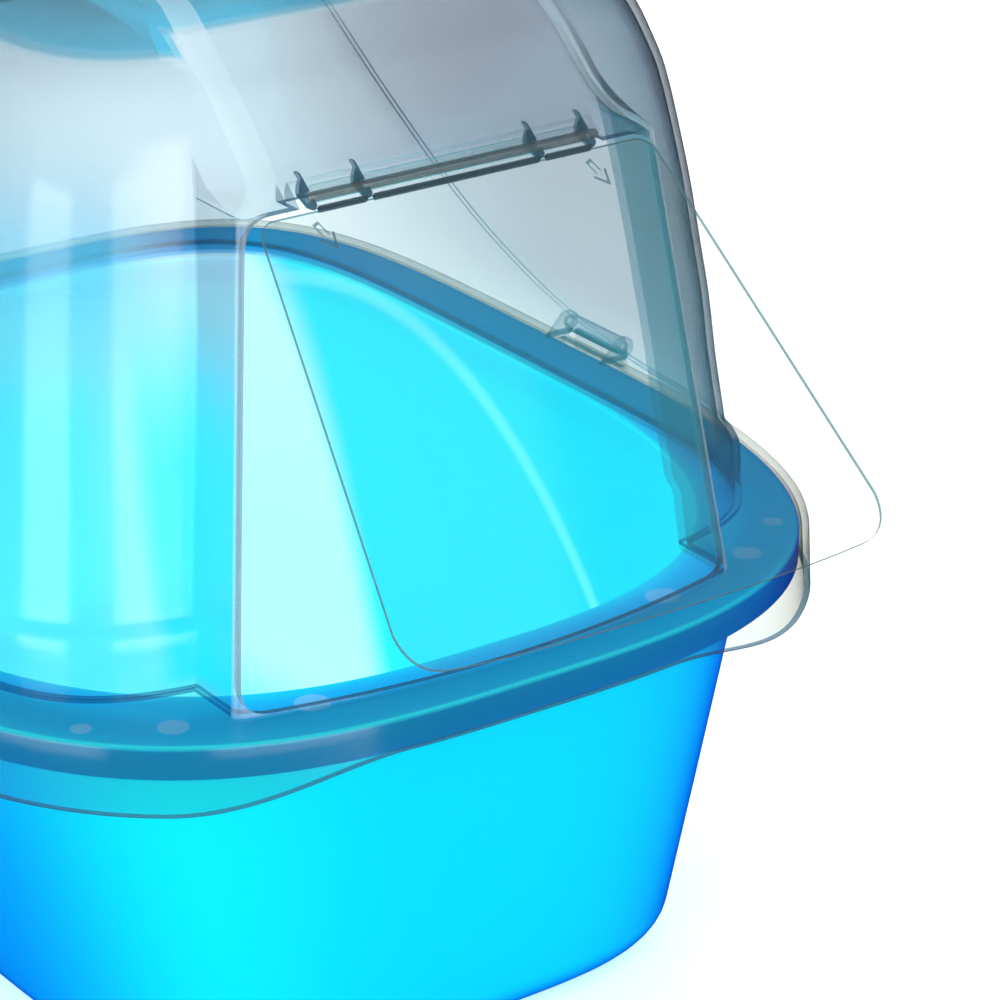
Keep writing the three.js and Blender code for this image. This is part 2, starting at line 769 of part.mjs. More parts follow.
function filterCover() {
  const bottom = trayTop + touchGap;
  const low = trayMiddle - trayLength / 2;
  const high = trayMiddle + trayLength / 2 - 3;
  const edge = roundedRectangle(trayHalfWidth + trayLip, low - trayLip, high, 6);
  const plate = slottedPlate(edge, trayHalfWidth, low + 8, high - 10, bottom, bottom + coverThickness);
  const thumb = block([-14, low - trayLip - 3, bottom], [14, low - trayLip + 1, bottom + coverThickness]);
  const arm = trayHalfWidth - 8 - 1.5 - 0.5;
  const pieces = [plate, thumb];
  for (const side of [-1, 1]) {
    const inner = side > 0 ? arm - 6 : -arm;
    pieces.push(block([inner, high - 2, bottom], [inner + 6, coverHingeY, bottom + coverThickness]));
    pieces.push(cylinderX(coverThickness * 0.9, inner, inner + 6, coverHingeY, coverHingeZ, 16));
    const pin = side > 0 ? [arm - 1, arm + 3.2] : [-arm - 3.2, -arm + 1];
    pieces.push(cylinderX(1.3, ...pin, coverHingeY, coverHingeZ, 12));
  }
  return joined(pieces);
}

// ---- the side latches ----

function sideLatch(side) {
  const hookTop = panHeight - rimSkirt - latchHookGap;
  const hookFoot = hookTop - latchHook;
  const inner = latchPivotX + 1.9;
  const outer = inner + latchPlate;
  const outline = polygon([
    [inner, latchPivotZ],
    [inner, hookTop],
    [latchPivotX - 9, hookTop],
    [latchPivotX - 9, hookTop - 1.2],
    [latchPivotX - 6, hookFoot],
    [outer + 4, hookFoot],
    [outer + 4, hookFoot + 1.8],
    [outer, hookFoot + 6],
    [outer, latchPivotZ],
  ].map(([x, z]) => [side * x, z]));
  const plate = acrossY(outline, -latchHalf, latchHalf);
  const barrel = cylinderY(latchBarrel, -latchHalf, latchHalf, side * latchPivotX, latchPivotZ);
  const pin = cylinderY(2.2, -latchHalf - 3.6, latchHalf + 3.6, side * latchPivotX, latchPivotZ);
  return joined([plate, barrel, pin]);
}

// ---- the object ----

const litterBox = new THREE.Group();

const panBlue = { color: 0x10c4f4, roughness: 0.22, metalness: 0, transparent: true, opacity: 0.85 };
const smoke = { color: 0xa9bcc8, roughness: 0.18, metalness: 0, transparent: true, opacity: 0.5 };
const clear = { color: 0xd8e2e6, roughness: 0.08, metalness: 0, transparent: true, opacity: 0.3 };
const carbon = { color: 0x2b2d2f, roughness: 0.95, metalness: 0 };

litterBox.add(named('base_pan', basePan(), panBlue));
litterBox.add(named('hood_shell', hoodShell(), smoke));
litterBox.add(named('hinge_rod', hingeRod(), smoke));

const flap = named('door_flap', doorFlap(), clear);
flap.position.set(0, rodY, rodZ);
flap.rotation.x = -flapRestAngle;
litterBox.add(flap);

litterBox.add(named('carry_handle', carryHandle(), panBlue));
litterBox.add(named('filter_tray', filterTray(), smoke));
litterBox.add(named('filter_pad', filterPad(), carbon));
litterBox.add(named('filter_cover', filterCover(), panBlue));
litterBox.add(named('latch_left', sideLatch(-1), smoke));
litterBox.add(named('latch_right', sideLatch(1), smoke));

export default litterBox;
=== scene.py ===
import json
import math
import bmesh
import bpy
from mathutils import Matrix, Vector


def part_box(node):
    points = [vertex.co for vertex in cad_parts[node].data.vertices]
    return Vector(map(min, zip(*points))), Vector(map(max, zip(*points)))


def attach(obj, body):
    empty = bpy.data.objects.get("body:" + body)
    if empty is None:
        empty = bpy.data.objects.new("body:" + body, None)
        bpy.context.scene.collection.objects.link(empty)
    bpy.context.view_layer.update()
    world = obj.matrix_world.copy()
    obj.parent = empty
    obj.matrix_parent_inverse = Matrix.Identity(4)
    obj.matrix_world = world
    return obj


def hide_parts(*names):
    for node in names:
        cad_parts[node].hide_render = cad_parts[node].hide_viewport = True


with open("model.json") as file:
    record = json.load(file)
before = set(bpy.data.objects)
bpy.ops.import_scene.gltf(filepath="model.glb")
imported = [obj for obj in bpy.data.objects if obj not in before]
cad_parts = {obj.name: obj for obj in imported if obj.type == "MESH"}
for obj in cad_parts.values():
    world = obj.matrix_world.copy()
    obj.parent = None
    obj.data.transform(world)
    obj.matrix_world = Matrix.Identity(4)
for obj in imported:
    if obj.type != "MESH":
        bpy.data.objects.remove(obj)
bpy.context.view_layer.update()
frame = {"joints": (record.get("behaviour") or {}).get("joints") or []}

mm = 0.001  # sizes below are in millimetres, meshes are in metres
joints = {joint["name"]: joint for joint in frame["joints"]}


def boxOf(node):
    low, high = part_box(node)
    return low / mm, high / mm


def pivotOf(joint):
    return Vector(joints[joint]["pos_m"]) / mm


panLow, panHigh = boxOf("base_pan")
rodAxis = pivotOf("door_swing")
handleAxis = pivotOf("handle_fold")
coverAxis = pivotOf("cover_hinge")
latchAxis = pivotOf("right_latch_hinge")


# camera: a long lens, a little above the rim and round to the left of the door
view = {
    "turn": 35.3,  # degrees round from straight ahead
    "height": 23.5,  # degrees above the horizon
    "stand": (-815.4, -1389.8, 862.9),
    "lens": 143.8,
    "sensor": 36,
}


def placeCamera():
    turn, height = math.radians(view["turn"]), math.radians(view["height"])
    back = Vector((-math.sin(turn) * math.cos(height), -math.cos(turn) * math.cos(height), math.sin(height)))
    data = bpy.data.cameras.new("view")
    data.lens, data.sensor_width = view["lens"], view["sensor"]
    camera = bpy.data.objects.new("view", data)
    camera.location = Vector(view["stand"]) * mm
    camera.rotation_mode = "QUATERNION"
    camera.rotation_quaternion = (-back).to_track_quat("-Z", "Y")
    bpy.context.scene.collection.objects.link(camera)
    bpy.context.scene.camera = camera


placeCamera()


# small helpers

def addNode(tree, kind, links=None, **settings):
    node = tree.nodes.new(kind)
    for name, value in settings.items():
        setattr(node, name, value)
    for socket, source in (links or {}).items():
        if isinstance(source, bpy.types.NodeSocket):
            tree.links.new(source, node.inputs[socket])
        else:
            node.inputs[socket].default_value = source
    return node


def mathNode(tree, how, *values):
    return addNode(tree, "ShaderNodeMath", dict(enumerate(values)), operation=how).outputs[0]


def mixNode(tree, share, one, other, kind="RGBA"):
    links = {"Factor": share, "A": one, "B": other}
    return addNode(tree, "ShaderNodeMix", links, data_type=kind).outputs["Result"]


def rampNode(tree, value, low=0, high=1, start=0, end=1, how="SMOOTHSTEP"):
    return addNode(tree, "ShaderNodeMapRange", {
        "Value": value, "From Min": low, "From Max": high, "To Min": start, "To Max": end,
    }, interpolation_type=how).outputs[0]


def noiseNode(tree, place, size, detail):
    links = {"Vector": place, "Scale": 1 / (size * mm), "Detail": detail}
    return addNode(tree, "ShaderNodeTexNoise", links).outputs["Fac"]


def bumpNode(tree, height, strength, depth):
    links = {"Height": height, "Strength": strength, "Distance": depth * mm}
    return addNode(tree, "ShaderNodeBump", links).outputs[0]


# a Geometry Nodes tree with named inputs, which ends in one real, coloured mesh
def newTree(name, inputs, output):
    tree = bpy.data.node_groups.new(name, "GeometryNodeTree")
    for label, kind in inputs.items():
        tree.interface.new_socket(label, in_out="INPUT", socket_type="NodeSocket" + kind)
    tree.interface.new_socket(output, in_out="OUTPUT", socket_type="NodeSocketGeometry")
    return tree, addNode(tree, "NodeGroupInput").outputs


def endTree(tree, shape, material):
    real = addNode(tree, "GeometryNodeRealizeInstances", {0: shape})
    coloured = addNode(tree, "GeometryNodeSetMaterial", {0: real.outputs[0], "Material": material})
    addNode(tree, "NodeGroupOutput", {0: coloured.outputs[0]})
    return tree


def linear(colour):
    parts = [int(colour[at:at + 2], 16) / 255 for at in (1, 3, 5)]
    return (*[c / 12.92 if c <= 0.04045 else ((c + 0.055) / 1.055) ** 2.4 for c in parts], 1)


def lerp(a, b, share):
    return a + (b - a) * share


def smoothstep(value, low, high):
    share = min(1, max(0, (value - low) / (high - low)))
    return share * share * (3 - 2 * share)


def smoothTable(table, at):
    # a smooth curve through (place, value) pairs that never overshoots them
    places = [row[0] for row in table]
    values = [row[1] for row in table]
    if at <= places[0]:
        return values[0]
    if at >= places[-1]:
        return values[-1]
    gaps = range(len(table) - 1)
    slopes = [(values[i + 1] - values[i]) / (places[i + 1] - places[i]) for i in gaps]
    i = max(k for k in range(len(slopes)) if places[k] <= at)

    def tangent(k):
        if k == 0:
            return slopes[0]
        if k == len(slopes):
            return slopes[-1]
        a, b = slopes[k - 1], slopes[k]
        return 0 if a * b <= 0 else 2 * a * b / (a + b)

    step = places[i + 1] - places[i]
    t = (at - places[i]) / step
    return (
        values[i] * (1 + 2 * t) * (1 - t) ** 2 + values[i + 1] * t * t * (3 - 2 * t)
        + step * (tangent(i) * t * (1 - t) ** 2 - tangent(i + 1) * t * t * (1 - t))
    )


def meshObject(name, points, faces, materials=()):
    mesh = bpy.data.meshes.new(name)
    mesh.from_pydata([Vector(point) * mm for point in points], [], faces)
    for material in materials:
        mesh.materials.append(material)
    piece = bpy.data.objects.new(name, mesh)
    bpy.context.scene.collection.objects.link(piece)
    return piece


def faceOut(piece):
    work = bmesh.new()
    work.from_mesh(piece.data)
    if work.calc_volume(signed=True) < 0:
        bmesh.ops.reverse_faces(work, faces=work.faces)
    work.to_mesh(piece.data)
    work.free()
    return piece


# a skin through rings of equal count, closed by a middle point at each end, or joined end to start
def loft(name, rings, materials=(), looped=False, edgeBands=()):
    count = len(rings[0])
    points = [point for ring in rings for point in ring]
    faces, bands = [], []
    last = len(rings) if looped else len(rings) - 1
    for row in range(last):
        near, far = row * count, ((row + 1) % len(rings)) * count
        for column in range(count):
            beside = (column + 1) % count
            faces.append((near + column, near + beside, far + beside, far + column))
            bands.append(row in edgeBands)
    if not looped:
        for ring, start, flip in ((rings[0], 0, True), (rings[-1], (len(rings) - 1) * count, False)):
            middle = sum((Vector(point) for point in ring), Vector()) / count
            points.append(middle)
            for column in range(count):
                pair = (start + column, start + (column + 1) % count)
                faces.append((*(pair[::-1] if flip else pair), len(points) - 1))
                bands.append(False)
    piece = meshObject(name, points, faces, materials)
    piece.data.polygons.foreach_set("material_index", [int(band) for band in bands])
    return faceOut(piece)


# an outline given thickness: its two numbers run along the axes named, its thickness along the third
def prism(name, outline, axes, low, high, materials=(), edgeIndex=0):
    through = ({0, 1, 2} - {"xyz".index(axes[0]), "xyz".index(axes[1])}).pop()

    def corner(pair, level):
        point = [0, 0, 0]
        point["xyz".index(axes[0])], point["xyz".index(axes[1])], point[through] = *pair, level
        return point

    count = len(outline)
    points = [corner(pair, low) for pair in outline] + [corner(pair, high) for pair in outline]
    faces = [tuple(range(count))[::-1], tuple(range(count, 2 * count))]
    faces += [(i, (i + 1) % count, (i + 1) % count + count, i + count) for i in range(count)]
    piece = meshObject(name, points, faces, materials)
    piece.data.polygons.foreach_set("material_index", [0, 0] + [edgeIndex] * count)
    return faceOut(piece)


# a body turned about a line along one axis, from (place along it, radius) pairs
def turned(name, profile, axis, middle, materials=(), sides=40):
    along = "xyz".index(axis)
    first, second = [i for i in range(3) if i != along]
    rings = []
    for place, radius in profile:
        ring = []
        for side in range(sides):
            angle = 2 * math.pi * side / sides
            point = [0, 0, 0]
            point[along] = place
            point[first] = middle[0] + radius * math.cos(angle)
            point[second] = middle[1] + radius * math.sin(angle)
            ring.append(point)
        rings.append(ring)
    return loft(name, rings, materials)


def pin(name, radius, low, high, axis, middle, materials=(), round=0.3, sides=40):
    profile = [(low, radius - round), (low + round, radius), (high - round, radius), (high, radius - round)]
    return turned(name, profile, axis, middle, materials, sides)


def applied(piece):
    graph = bpy.context.evaluated_depsgraph_get()
    graph.update()
    mesh = bpy.data.meshes.new_from_object(piece.evaluated_get(graph), depsgraph=graph)
    piece.modifiers.clear()
    piece.data = mesh
    return piece


def combine(base, tools, how):
    for tool in tools:
        step = base.modifiers.new("step", "BOOLEAN")
        step.operation, step.solver, step.object = how, "MANIFOLD", tool
        applied(base)
        bpy.data.objects.remove(tool)
    return base


def joined(base, *tools):
    return combine(base, tools, "UNION")


def cutBy(base, *tools):
    return combine(base, tools, "DIFFERENCE")


def softened(piece, width, segments=2, angle=35):
    bevel = piece.modifiers.new("soften", "BEVEL")
    bevel.width, bevel.segments = width * mm, segments
    bevel.limit_method, bevel.angle_limit = "ANGLE", math.radians(angle)
    bevel.harden_normals = False
    return applied(piece)


def shaded(piece, angle=38):
    piece.data.shade_smooth()
    piece.data.set_sharp_from_angle(angle=math.radians(angle))
    return piece


def arc(centre, radius, start, end, steps):
    angles = [math.radians(lerp(start, end, i / steps)) for i in range(steps + 1)]
    return [(centre[0] + radius * math.cos(a), centre[1] + radius * math.sin(a)) for a in angles]


def bend(a, b, c, steps):
    # a curve from a to c that leans towards b
    a, b, c = Vector(a), Vector(b), Vector(c)
    shares = [i / steps for i in range(steps + 1)]
    return [tuple(a * (1 - t) ** 2 + b * 2 * t * (1 - t) + c * t * t) for t in shares]


def roundedBox(halfX, lowY, highY, radius, steps=8):
    corners = [
        ((halfX - radius, lowY + radius), -90), ((halfX - radius, highY - radius), 0),
        ((radius - halfX, highY - radius), 90), ((radius - halfX, lowY + radius), 180),
    ]
    return [point for centre, start in corners for point in arc(centre, radius, start, start + 90, steps)]


def finish(piece, body, slot, *nodes):
    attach(piece, body)
    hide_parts(*nodes)
    print("made", piece.name, "with", len(piece.data.polygons), "faces")


# materials

def newMaterial(name):
    material = bpy.data.materials.new(name)
    material.use_nodes = True
    material.node_tree.nodes.clear()
    return material, material.node_tree


# Polypropylene, injection moulded, with blue dye. Light soaks into the wall and comes out a purer, brighter
# blue, and a painted glow (emission) adds to it. It looks deeper where the wall is seen along its length, as
# the light has further to go. Inside, painted light makes it paler towards the back, as if lit from behind.
panLook = {
    "open": "#01d9e0", "deep": "#0240e4", "rimSide": "#0192c4", "rimTopPaintedLight": "#30ecf2", "mark": "#a8fff4",
    "insideFront": "#10e6f2", "insideMiddle": "#3cecf2",
    "paintedBackLight": "#80ffff", "paintedCornerLight": "#ecffff",
    "paleSlope": 0.8, "middleFrom": -170, "middleTo": -125, "paleFrom": 37, "paleTo": 69,
    "cornerFrom": 60, "cornerTo": 140, "depthFrom": 0.18,
    "paintedGlow": 0.1, "rimPaintedGlow": 0.45, "rimBackPaintedGlow": 0.9, "insidePaintedGlow": 0.6, "glowFrom": -150, "glowTo": 20,
    "roughness": 0.16, "ripple": 45, "grain": 0.6, "through": 0.35, "shine": 0.2,
    # painted highlight: a pale streak on the inner wall, whose height by y the fold numbers give
    "fold": (146, 0.472, -0.00166), "paintedStreakHalf": 6, "paintedStreakColour": "#8cffff",  # height of the pale line by y
    "marks": ((84, -233, 7.5), (138, -220, 6.5), (167, -201, 4.5)),  # where ejector pins pushed: x, y, radius
}


# the pan's colour and painted glow by place: its rim, its outside and its inside; rim top and inside carry painted
# light
def panByPlace(tree, place, inside):
    look = panLook
    x, y, z = addNode(tree, "ShaderNodeSeparateXYZ", {0: place}).outputs[:3]

    def above(low, high):
        return rampNode(tree, z, (panHigh.z + low) * mm, (panHigh.z + high) * mm, how="LINEAR")

    def ramp(value, low, high, start=0, end=1):
        return rampNode(tree, value, low * mm, high * mm, start, end)

    def blended(share, one, other):
        return mixNode(tree, share, one, other)

    # painted light: the rim top is paler than its side, as if lit from above; the ejector marks on it are real
    onRim, onTop = above(-16, -13), above(-2, -0.4)
    topColour = linear(look["rimTopPaintedLight"])
    mirrored = addNode(tree, "ShaderNodeVectorMath", {0: place}, operation="ABSOLUTE").outputs[0]
    for across, along, radius in look["marks"]:
        spot = (across * mm, -along * mm, panHigh.z * mm)
        away = addNode(tree, "ShaderNodeVectorMath", {0: mirrored, 1: spot}, operation="DISTANCE").outputs["Value"]
        topColour = blended(ramp(away, radius - 0.6, radius, 0.7, 0), topColour, linear(look["mark"]))
    outer = blended(onTop, blended(onRim, linear(look["open"]), linear(look["rimSide"])), topColour)

    # painted light inside: paler from the front towards the back, nearly white at the back corner, as if lit from
    # behind
    slanted = mathNode(tree, "MULTIPLY_ADD", z, -look["paleSlope"], y)
    toMiddle = ramp(slanted, look["middleFrom"], look["middleTo"])
    front = blended(toMiddle, linear(look["insideFront"]), linear(look["insideMiddle"]))
    # painted highlight: a pale streak along the inner wall
    streakAt, streakRise, streakBend = look["fold"]
    steeper = mathNode(tree, "MULTIPLY_ADD", y, streakBend / mm, streakRise)
    streakHeight = mathNode(tree, "MULTIPLY_ADD", y, steeper, streakAt * mm)
    offStreak = mathNode(tree, "ABSOLUTE", mathNode(tree, "SUBTRACT", z, streakHeight))
    front = blended(ramp(offStreak, 0.5, look["paintedStreakHalf"], 0.85, 0), front, linear(look["paintedStreakColour"]))
    toCorner = ramp(x, look["cornerFrom"], look["cornerTo"])
    back = blended(toCorner, linear(look["paintedBackLight"]), linear(look["paintedCornerLight"]))
    inner = blended(ramp(slanted, look["paleFrom"], look["paleTo"]), front, back)

    # painted glow: the rim top glows more towards the back, and the inside glows throughout
    topPaintedGlow = ramp(y, look["glowFrom"], look["glowTo"], look["rimPaintedGlow"], look["rimBackPaintedGlow"])
    paintedGlow = mixNode(tree, onTop, look["paintedGlow"], topPaintedGlow, "FLOAT")
    return blended(inside, outer, inner), mixNode(tree, inside, paintedGlow, look["insidePaintedGlow"], "FLOAT")


def bluePolypropylene(name, isPan):
    look = panLook
    material, tree = newMaterial(name)
    place = addNode(tree, "ShaderNodeTexCoord").outputs["Object"]
    facing = addNode(tree, "ShaderNodeLayerWeight", {"Blend": 0.5}).outputs["Facing"]
    depthShare = rampNode(tree, facing, look["depthFrom"], how="LINEAR")
    wallColour, paintedGlow = linear(look["open"]), look["paintedGlow"]
    if isPan:
        inside = addNode(tree, "ShaderNodeAttribute", attribute_name="inside").outputs["Fac"]
        wallColour, paintedGlow = panByPlace(tree, place, inside)
        depthShare = mathNode(tree, "MULTIPLY", depthShare, mathNode(tree, "SUBTRACT", 1, inside))
    colour = mixNode(tree, depthShare, wallColour, linear(look["deep"]))
    grain = noiseNode(tree, place, look["grain"], 3)
    rough = rampNode(tree, grain, start=look["roughness"] - 0.05, end=look["roughness"] + 0.06, how="LINEAR")
    bump = bumpNode(tree, noiseNode(tree, place, look["ripple"], 2), 0.12, 1.2)
    # the emission is a painted glow
    body = addNode(tree, "ShaderNodeBsdfPrincipled", {
        "Base Color": colour, "Roughness": rough, "IOR": 1.49, "Normal": bump,
        "Specular IOR Level": look["shine"], "Emission Color": colour, "Emission Strength": paintedGlow,
    })
    through = addNode(tree, "ShaderNodeBsdfTranslucent", {"Color": colour, "Normal": bump})
    mix = addNode(tree, "ShaderNodeMixShader", {0: look["through"], 1: body.outputs[0], 2: through.outputs[0]})
    addNode(tree, "ShaderNodeOutputMaterial", {"Surface": mix.outputs[0]})
    return material


# Clear polypropylene with a little smoke dye, injection moulded. The eye goes through it to what is
# behind, a shade greyer at each wall, and it darkens where a wall is seen along its length.
hoodLook = {
    "tint": "#f0f5f7", "edgeTint": "#c0cbd3", "highTint": "#eaf0f3", "highEdgeTint": "#b4b7bc",
    "highFrom": 230, "highTo": 330, "skirtTint": "#f3f6f5", "skirtEdgeTint": "#f8f5ee", "footPaintedShade": "#7fa6b6",
    "shadeTint": "#d8d7dd", "shadeFrom": 118, "shadeTo": 160,
    "postPaintedLight": "#98f0fa", "postFrom": -96, "postTo": -103, "postOuter": -122, "postEnd": -134,
    "veil": 0.34, "veilHeight": 352, "veilHalf": 62, "veilFrom": -96, "veilTo": -135, "veilColour": "#7fe0fa",
    "haze": "#c8dbe4", "milk": 0.008, "ridgeHighlight": 0.22, "ridgeHighlightColour": "#f2f8fb", "edgePower": 1.6,
    "gloss": 0.16, "deckTint": "#9fdcec", "deckFrom": 234, "deckTo": 236, "bandHalf": 83, "bandLift": 7,
    "deckEdgeHighlight": 0.25, "ripple": 70, "ledgeRise": 2.8,
}


# the hood's tints and cloudiness by place, over the one moulding, with painted shade and painted light among them
def hoodByPlace(tree, place, flat, steep, milk, haze):
    look = hoodLook
    axes = addNode(tree, "ShaderNodeSeparateXYZ", {0: place}).outputs
    z = axes[2]

    def rise(axis, low, high):
        return rampNode(tree, axes[axis], low * mm, high * mm)

    def product(whole, *shares):
        for share in shares:
            whole = mathNode(tree, "MULTIPLY", whole, share)
        return whole

    def tinted(share, flatTint, steepTint):
        pairs = ((flat, flatTint), (steep, steepTint))
        return [mixNode(tree, share, now, linear(look[tint])) for now, tint in pairs]

    ledge = panHigh.z + look["ledgeRise"]
    flat, steep = tinted(rise(2, look["highFrom"], look["highTo"]), "highTint", "highEdgeTint")
    flat, steep = tinted(mathNode(tree, "LESS_THAN", z, (ledge + 0.1) * mm), "skirtTint", "skirtEdgeTint")
    # painted shade: a dark line along the wall's foot where it meets the ledge
    flat, steep = tinted(mathNode(tree, "COMPARE", z, (ledge + 1.1) * mm, 0.9 * mm), "footPaintedShade", "footPaintedShade")
    # the side away from the light is greyer towards the door
    shade = product(rise(0, look["shadeFrom"], look["shadeTo"]), rise(1, 180, -40), rise(2, 190, 250))
    flat = mixNode(tree, shade, flat, linear(look["shadeTint"]))
    # painted light: the post on the lit side is tinted with the pan's blue up its length
    onPost = product(rise(0, look["postFrom"], look["postTo"]), rise(0, look["postEnd"], look["postOuter"]),
                     rise(1, -160, -180), rise(2, 350, 270), rise(2, 188, 196))
    flat, steep = tinted(onPost, "postPaintedLight", "postPaintedLight")
    # the deck in the roof is tinted teal, with a painted highlight line round it; over the door's raised band it
    # starts higher
    onBand = mathNode(tree, "LESS_THAN", mathNode(tree, "ABSOLUTE", axes[0]), look["bandHalf"] * mm)
    height = mathNode(tree, "MULTIPLY_ADD", onBand, -look["bandLift"] * mm, z)
    deckFrom, deckTo = [(panHigh.z + look[key]) * mm for key in ("deckFrom", "deckTo")]
    flat = mixNode(tree, rampNode(tree, height, deckFrom, deckTo), flat, linear(look["deckTint"]))
    # painted highlight: a pale line along the deck's edge
    offEdge = mathNode(tree, "ABSOLUTE", mathNode(tree, "SUBTRACT", height, deckFrom))
    milk = mathNode(tree, "ADD", milk, rampNode(tree, offEdge, 0.3 * mm, 1.1 * mm, look["deckEdgeHighlight"], 0))
    # light from the pan is caught in the wall on the lit side and veils what lies behind it
    at, half = look["veilHeight"], look["veilHalf"]
    veil = product(rise(2, at - half, at), rise(2, at + half, at), rise(0, look["veilFrom"], look["veilTo"]))
    milk = mathNode(tree, "MULTIPLY_ADD", veil, look["veil"], milk)
    return flat, steep, milk, mixNode(tree, veil, haze, linear(look["veilColour"]))


def smokePolypropylene(name, tint, edgeTint, haze, milk, isHood=False):
    material, tree = newMaterial(name)
    place = addNode(tree, "ShaderNodeTexCoord").outputs["Object"]
    ripple = noiseNode(tree, place, hoodLook["ripple"], 2)
    bump = bumpNode(tree, ripple, 0.1, 1.5)
    facing = addNode(tree, "ShaderNodeLayerWeight", {"Blend": 0.5}).outputs["Facing"]
    flat, steep, haze = linear(tint), linear(edgeTint), linear(haze)
    milk = rampNode(tree, ripple, start=milk * 0.8, end=milk * 1.2, how="LINEAR")
    if isHood:
        flat, steep, milk, haze = hoodByPlace(tree, place, flat, steep, milk, haze)
    colour = mixNode(tree, mathNode(tree, "POWER", facing, hoodLook["edgePower"]), flat, steep)
    clear = addNode(tree, "ShaderNodeBsdfTransparent", {"Color": colour})
    cloud = addNode(tree, "ShaderNodeBsdfDiffuse", {"Color": haze, "Normal": bump})
    glowing = addNode(tree, "ShaderNodeBsdfTranslucent", {"Color": haze, "Normal": bump})
    cloudy = addNode(tree, "ShaderNodeMixShader", {0: 0.5, 1: cloud.outputs[0], 2: glowing.outputs[0]})
    body = addNode(tree, "ShaderNodeMixShader", {0: milk, 1: clear.outputs[0], 2: cloudy.outputs[0]})
    # the sheet's shine: a twenty-fifth head on, nearly all of it along the sheet
    shine = rampNode(tree, mathNode(tree, "POWER", facing, 5), start=0.04, end=0.9, how="LINEAR")
    gloss = addNode(tree, "ShaderNodeBsdfAnisotropic", {
        "Color": (1, 1, 1, 1), "Roughness": hoodLook["gloss"], "Normal": bump,
    })
    mix = addNode(tree, "ShaderNodeMixShader", {0: shine, 1: body.outputs[0], 2: gloss.outputs[0]})
    addNode(tree, "ShaderNodeOutputMaterial", {"Surface": mix.outputs[0]})
    return material


# Needled felt loaded with carbon: matt, nearly black, with a lighter fuzz where fibres stand up.
feltLook = {"fibre": "#26282a", "fuzz": "#4a4d50", "scale": 0.8}


def carbonFelt():
    material, tree = newMaterial("carbonFelt")
    fibres = noiseNode(tree, addNode(tree, "ShaderNodeTexCoord").outputs["Object"], feltLook["scale"], 6)
    body = addNode(tree, "ShaderNodeBsdfPrincipled", {
        "Base Color": mixNode(tree, fibres, linear(feltLook["fibre"]), linear(feltLook["fuzz"])),
        "Roughness": 0.95, "Normal": bumpNode(tree, fibres, 0.7, 0.5),
        "Sheen Weight": 0.4, "Sheen Roughness": 0.6,
    })
    addNode(tree, "ShaderNodeOutputMaterial", {"Surface": body.outputs[0]})
    return material


panPlastic = bluePolypropylene("panPolypropylene", True)
trimPlastic = bluePolypropylene("trimPolypropylene", False)
tints = [hoodLook["tint"], hoodLook["edgeTint"]]
hoodPlastic = smokePolypropylene("hoodPolypropylene", *tints, hoodLook["haze"], hoodLook["milk"], isHood=True)
hoodCutEdge = smokePolypropylene("hoodCutEdge", "#93a8b3", "#7b96a6", "#86a2b2", 0.2)
# painted highlight for the door surround's upright ridges
hoodRidgeHighlight = smokePolypropylene("hoodRidgeHighlight", *tints, hoodLook["ridgeHighlightColour"], hoodLook["ridgeHighlight"])
flapSheet = smokePolypropylene("flapSheet", "#fbfcfa", "#dfe8e8", "#eef2f2", 0.012)
flapCutEdge = smokePolypropylene("flapCutEdge", "#8fa9ae", "#6f8f96", "#93a9ac", 0.35)
# painted shadow: a dark sheet on the flap's neck, for the shaded slot under the rod
flapPaintedShadow = smokePolypropylene("flapPaintedShadow", "#5f7078", "#4c5c64", "#5c6c74", 0.5)  # thick, in the hood's shade
rodPlastic = smokePolypropylene("rodPolypropylene", "#c0c6c8", "#8b979d", "#d4d6d4", 0.12)
felt = carbonFelt()
print("materials mixed")


# plan outlines: the front half and the back half share their width, each with its own squareness

pan = {
    "wall": 2.4, "rimReach": 28.5, "rimFrontReach": 33, "rimSkirt": 14, "lipInset": 1,
    "sideDraft": 0.27, "endDraft": 0.085, "floorCorner": 17,
    "wallPower": 4, "floorPower": 4.5, "rimPower": 3, "lipPower": 2.7, "backPower": 5,
    "columns": 360,
}
wall = pan["wall"]
rimPlan = {
    "half": panHigh.x, "front": -panLow.y, "back": panHigh.y,
    "frontPower": pan["rimPower"], "backPower": pan["backPower"],
}
panPlan = {
    "half": panHigh.x - pan["rimReach"], "front": -panLow.y - pan["rimFrontReach"],
    "back": panHigh.y - pan["rimFrontReach"],
    "frontPower": pan["wallPower"], "backPower": pan["backPower"],
}


def grown(plan, by):
    return {**plan, "half": plan["half"] + by, "front": plan["front"] + by, "back": plan["back"] + by}


def between(one, other, share):
    return {key: lerp(one[key], other[key], share) for key in one}


lipPlan = {**grown(panPlan, -wall - pan["lipInset"]), "frontPower": pan["lipPower"]}


def planPoint(plan, angle):
    # the plan's point in a direction, by polar angle
    across, along = math.cos(angle), math.sin(angle)
    power = plan["frontPower"] if along < 0 else plan["backPower"]
    reach = plan["front"] if along < 0 else plan["back"]
    radius = (abs(across / plan["half"]) ** power + abs(along / reach) ** power) ** (-1 / power)
    return radius * across, radius * along


def footPlan(height, inset):
    drop = panHigh.z - wall - height
    return {
        "half": panPlan["half"] - pan["sideDraft"] * drop - inset,
        "front": panPlan["front"] - pan["endDraft"] * drop - inset,
        "back": panPlan["back"] - pan["endDraft"] * drop - inset,
        "frontPower": pan["floorPower"], "backPower": pan["backPower"],
    }


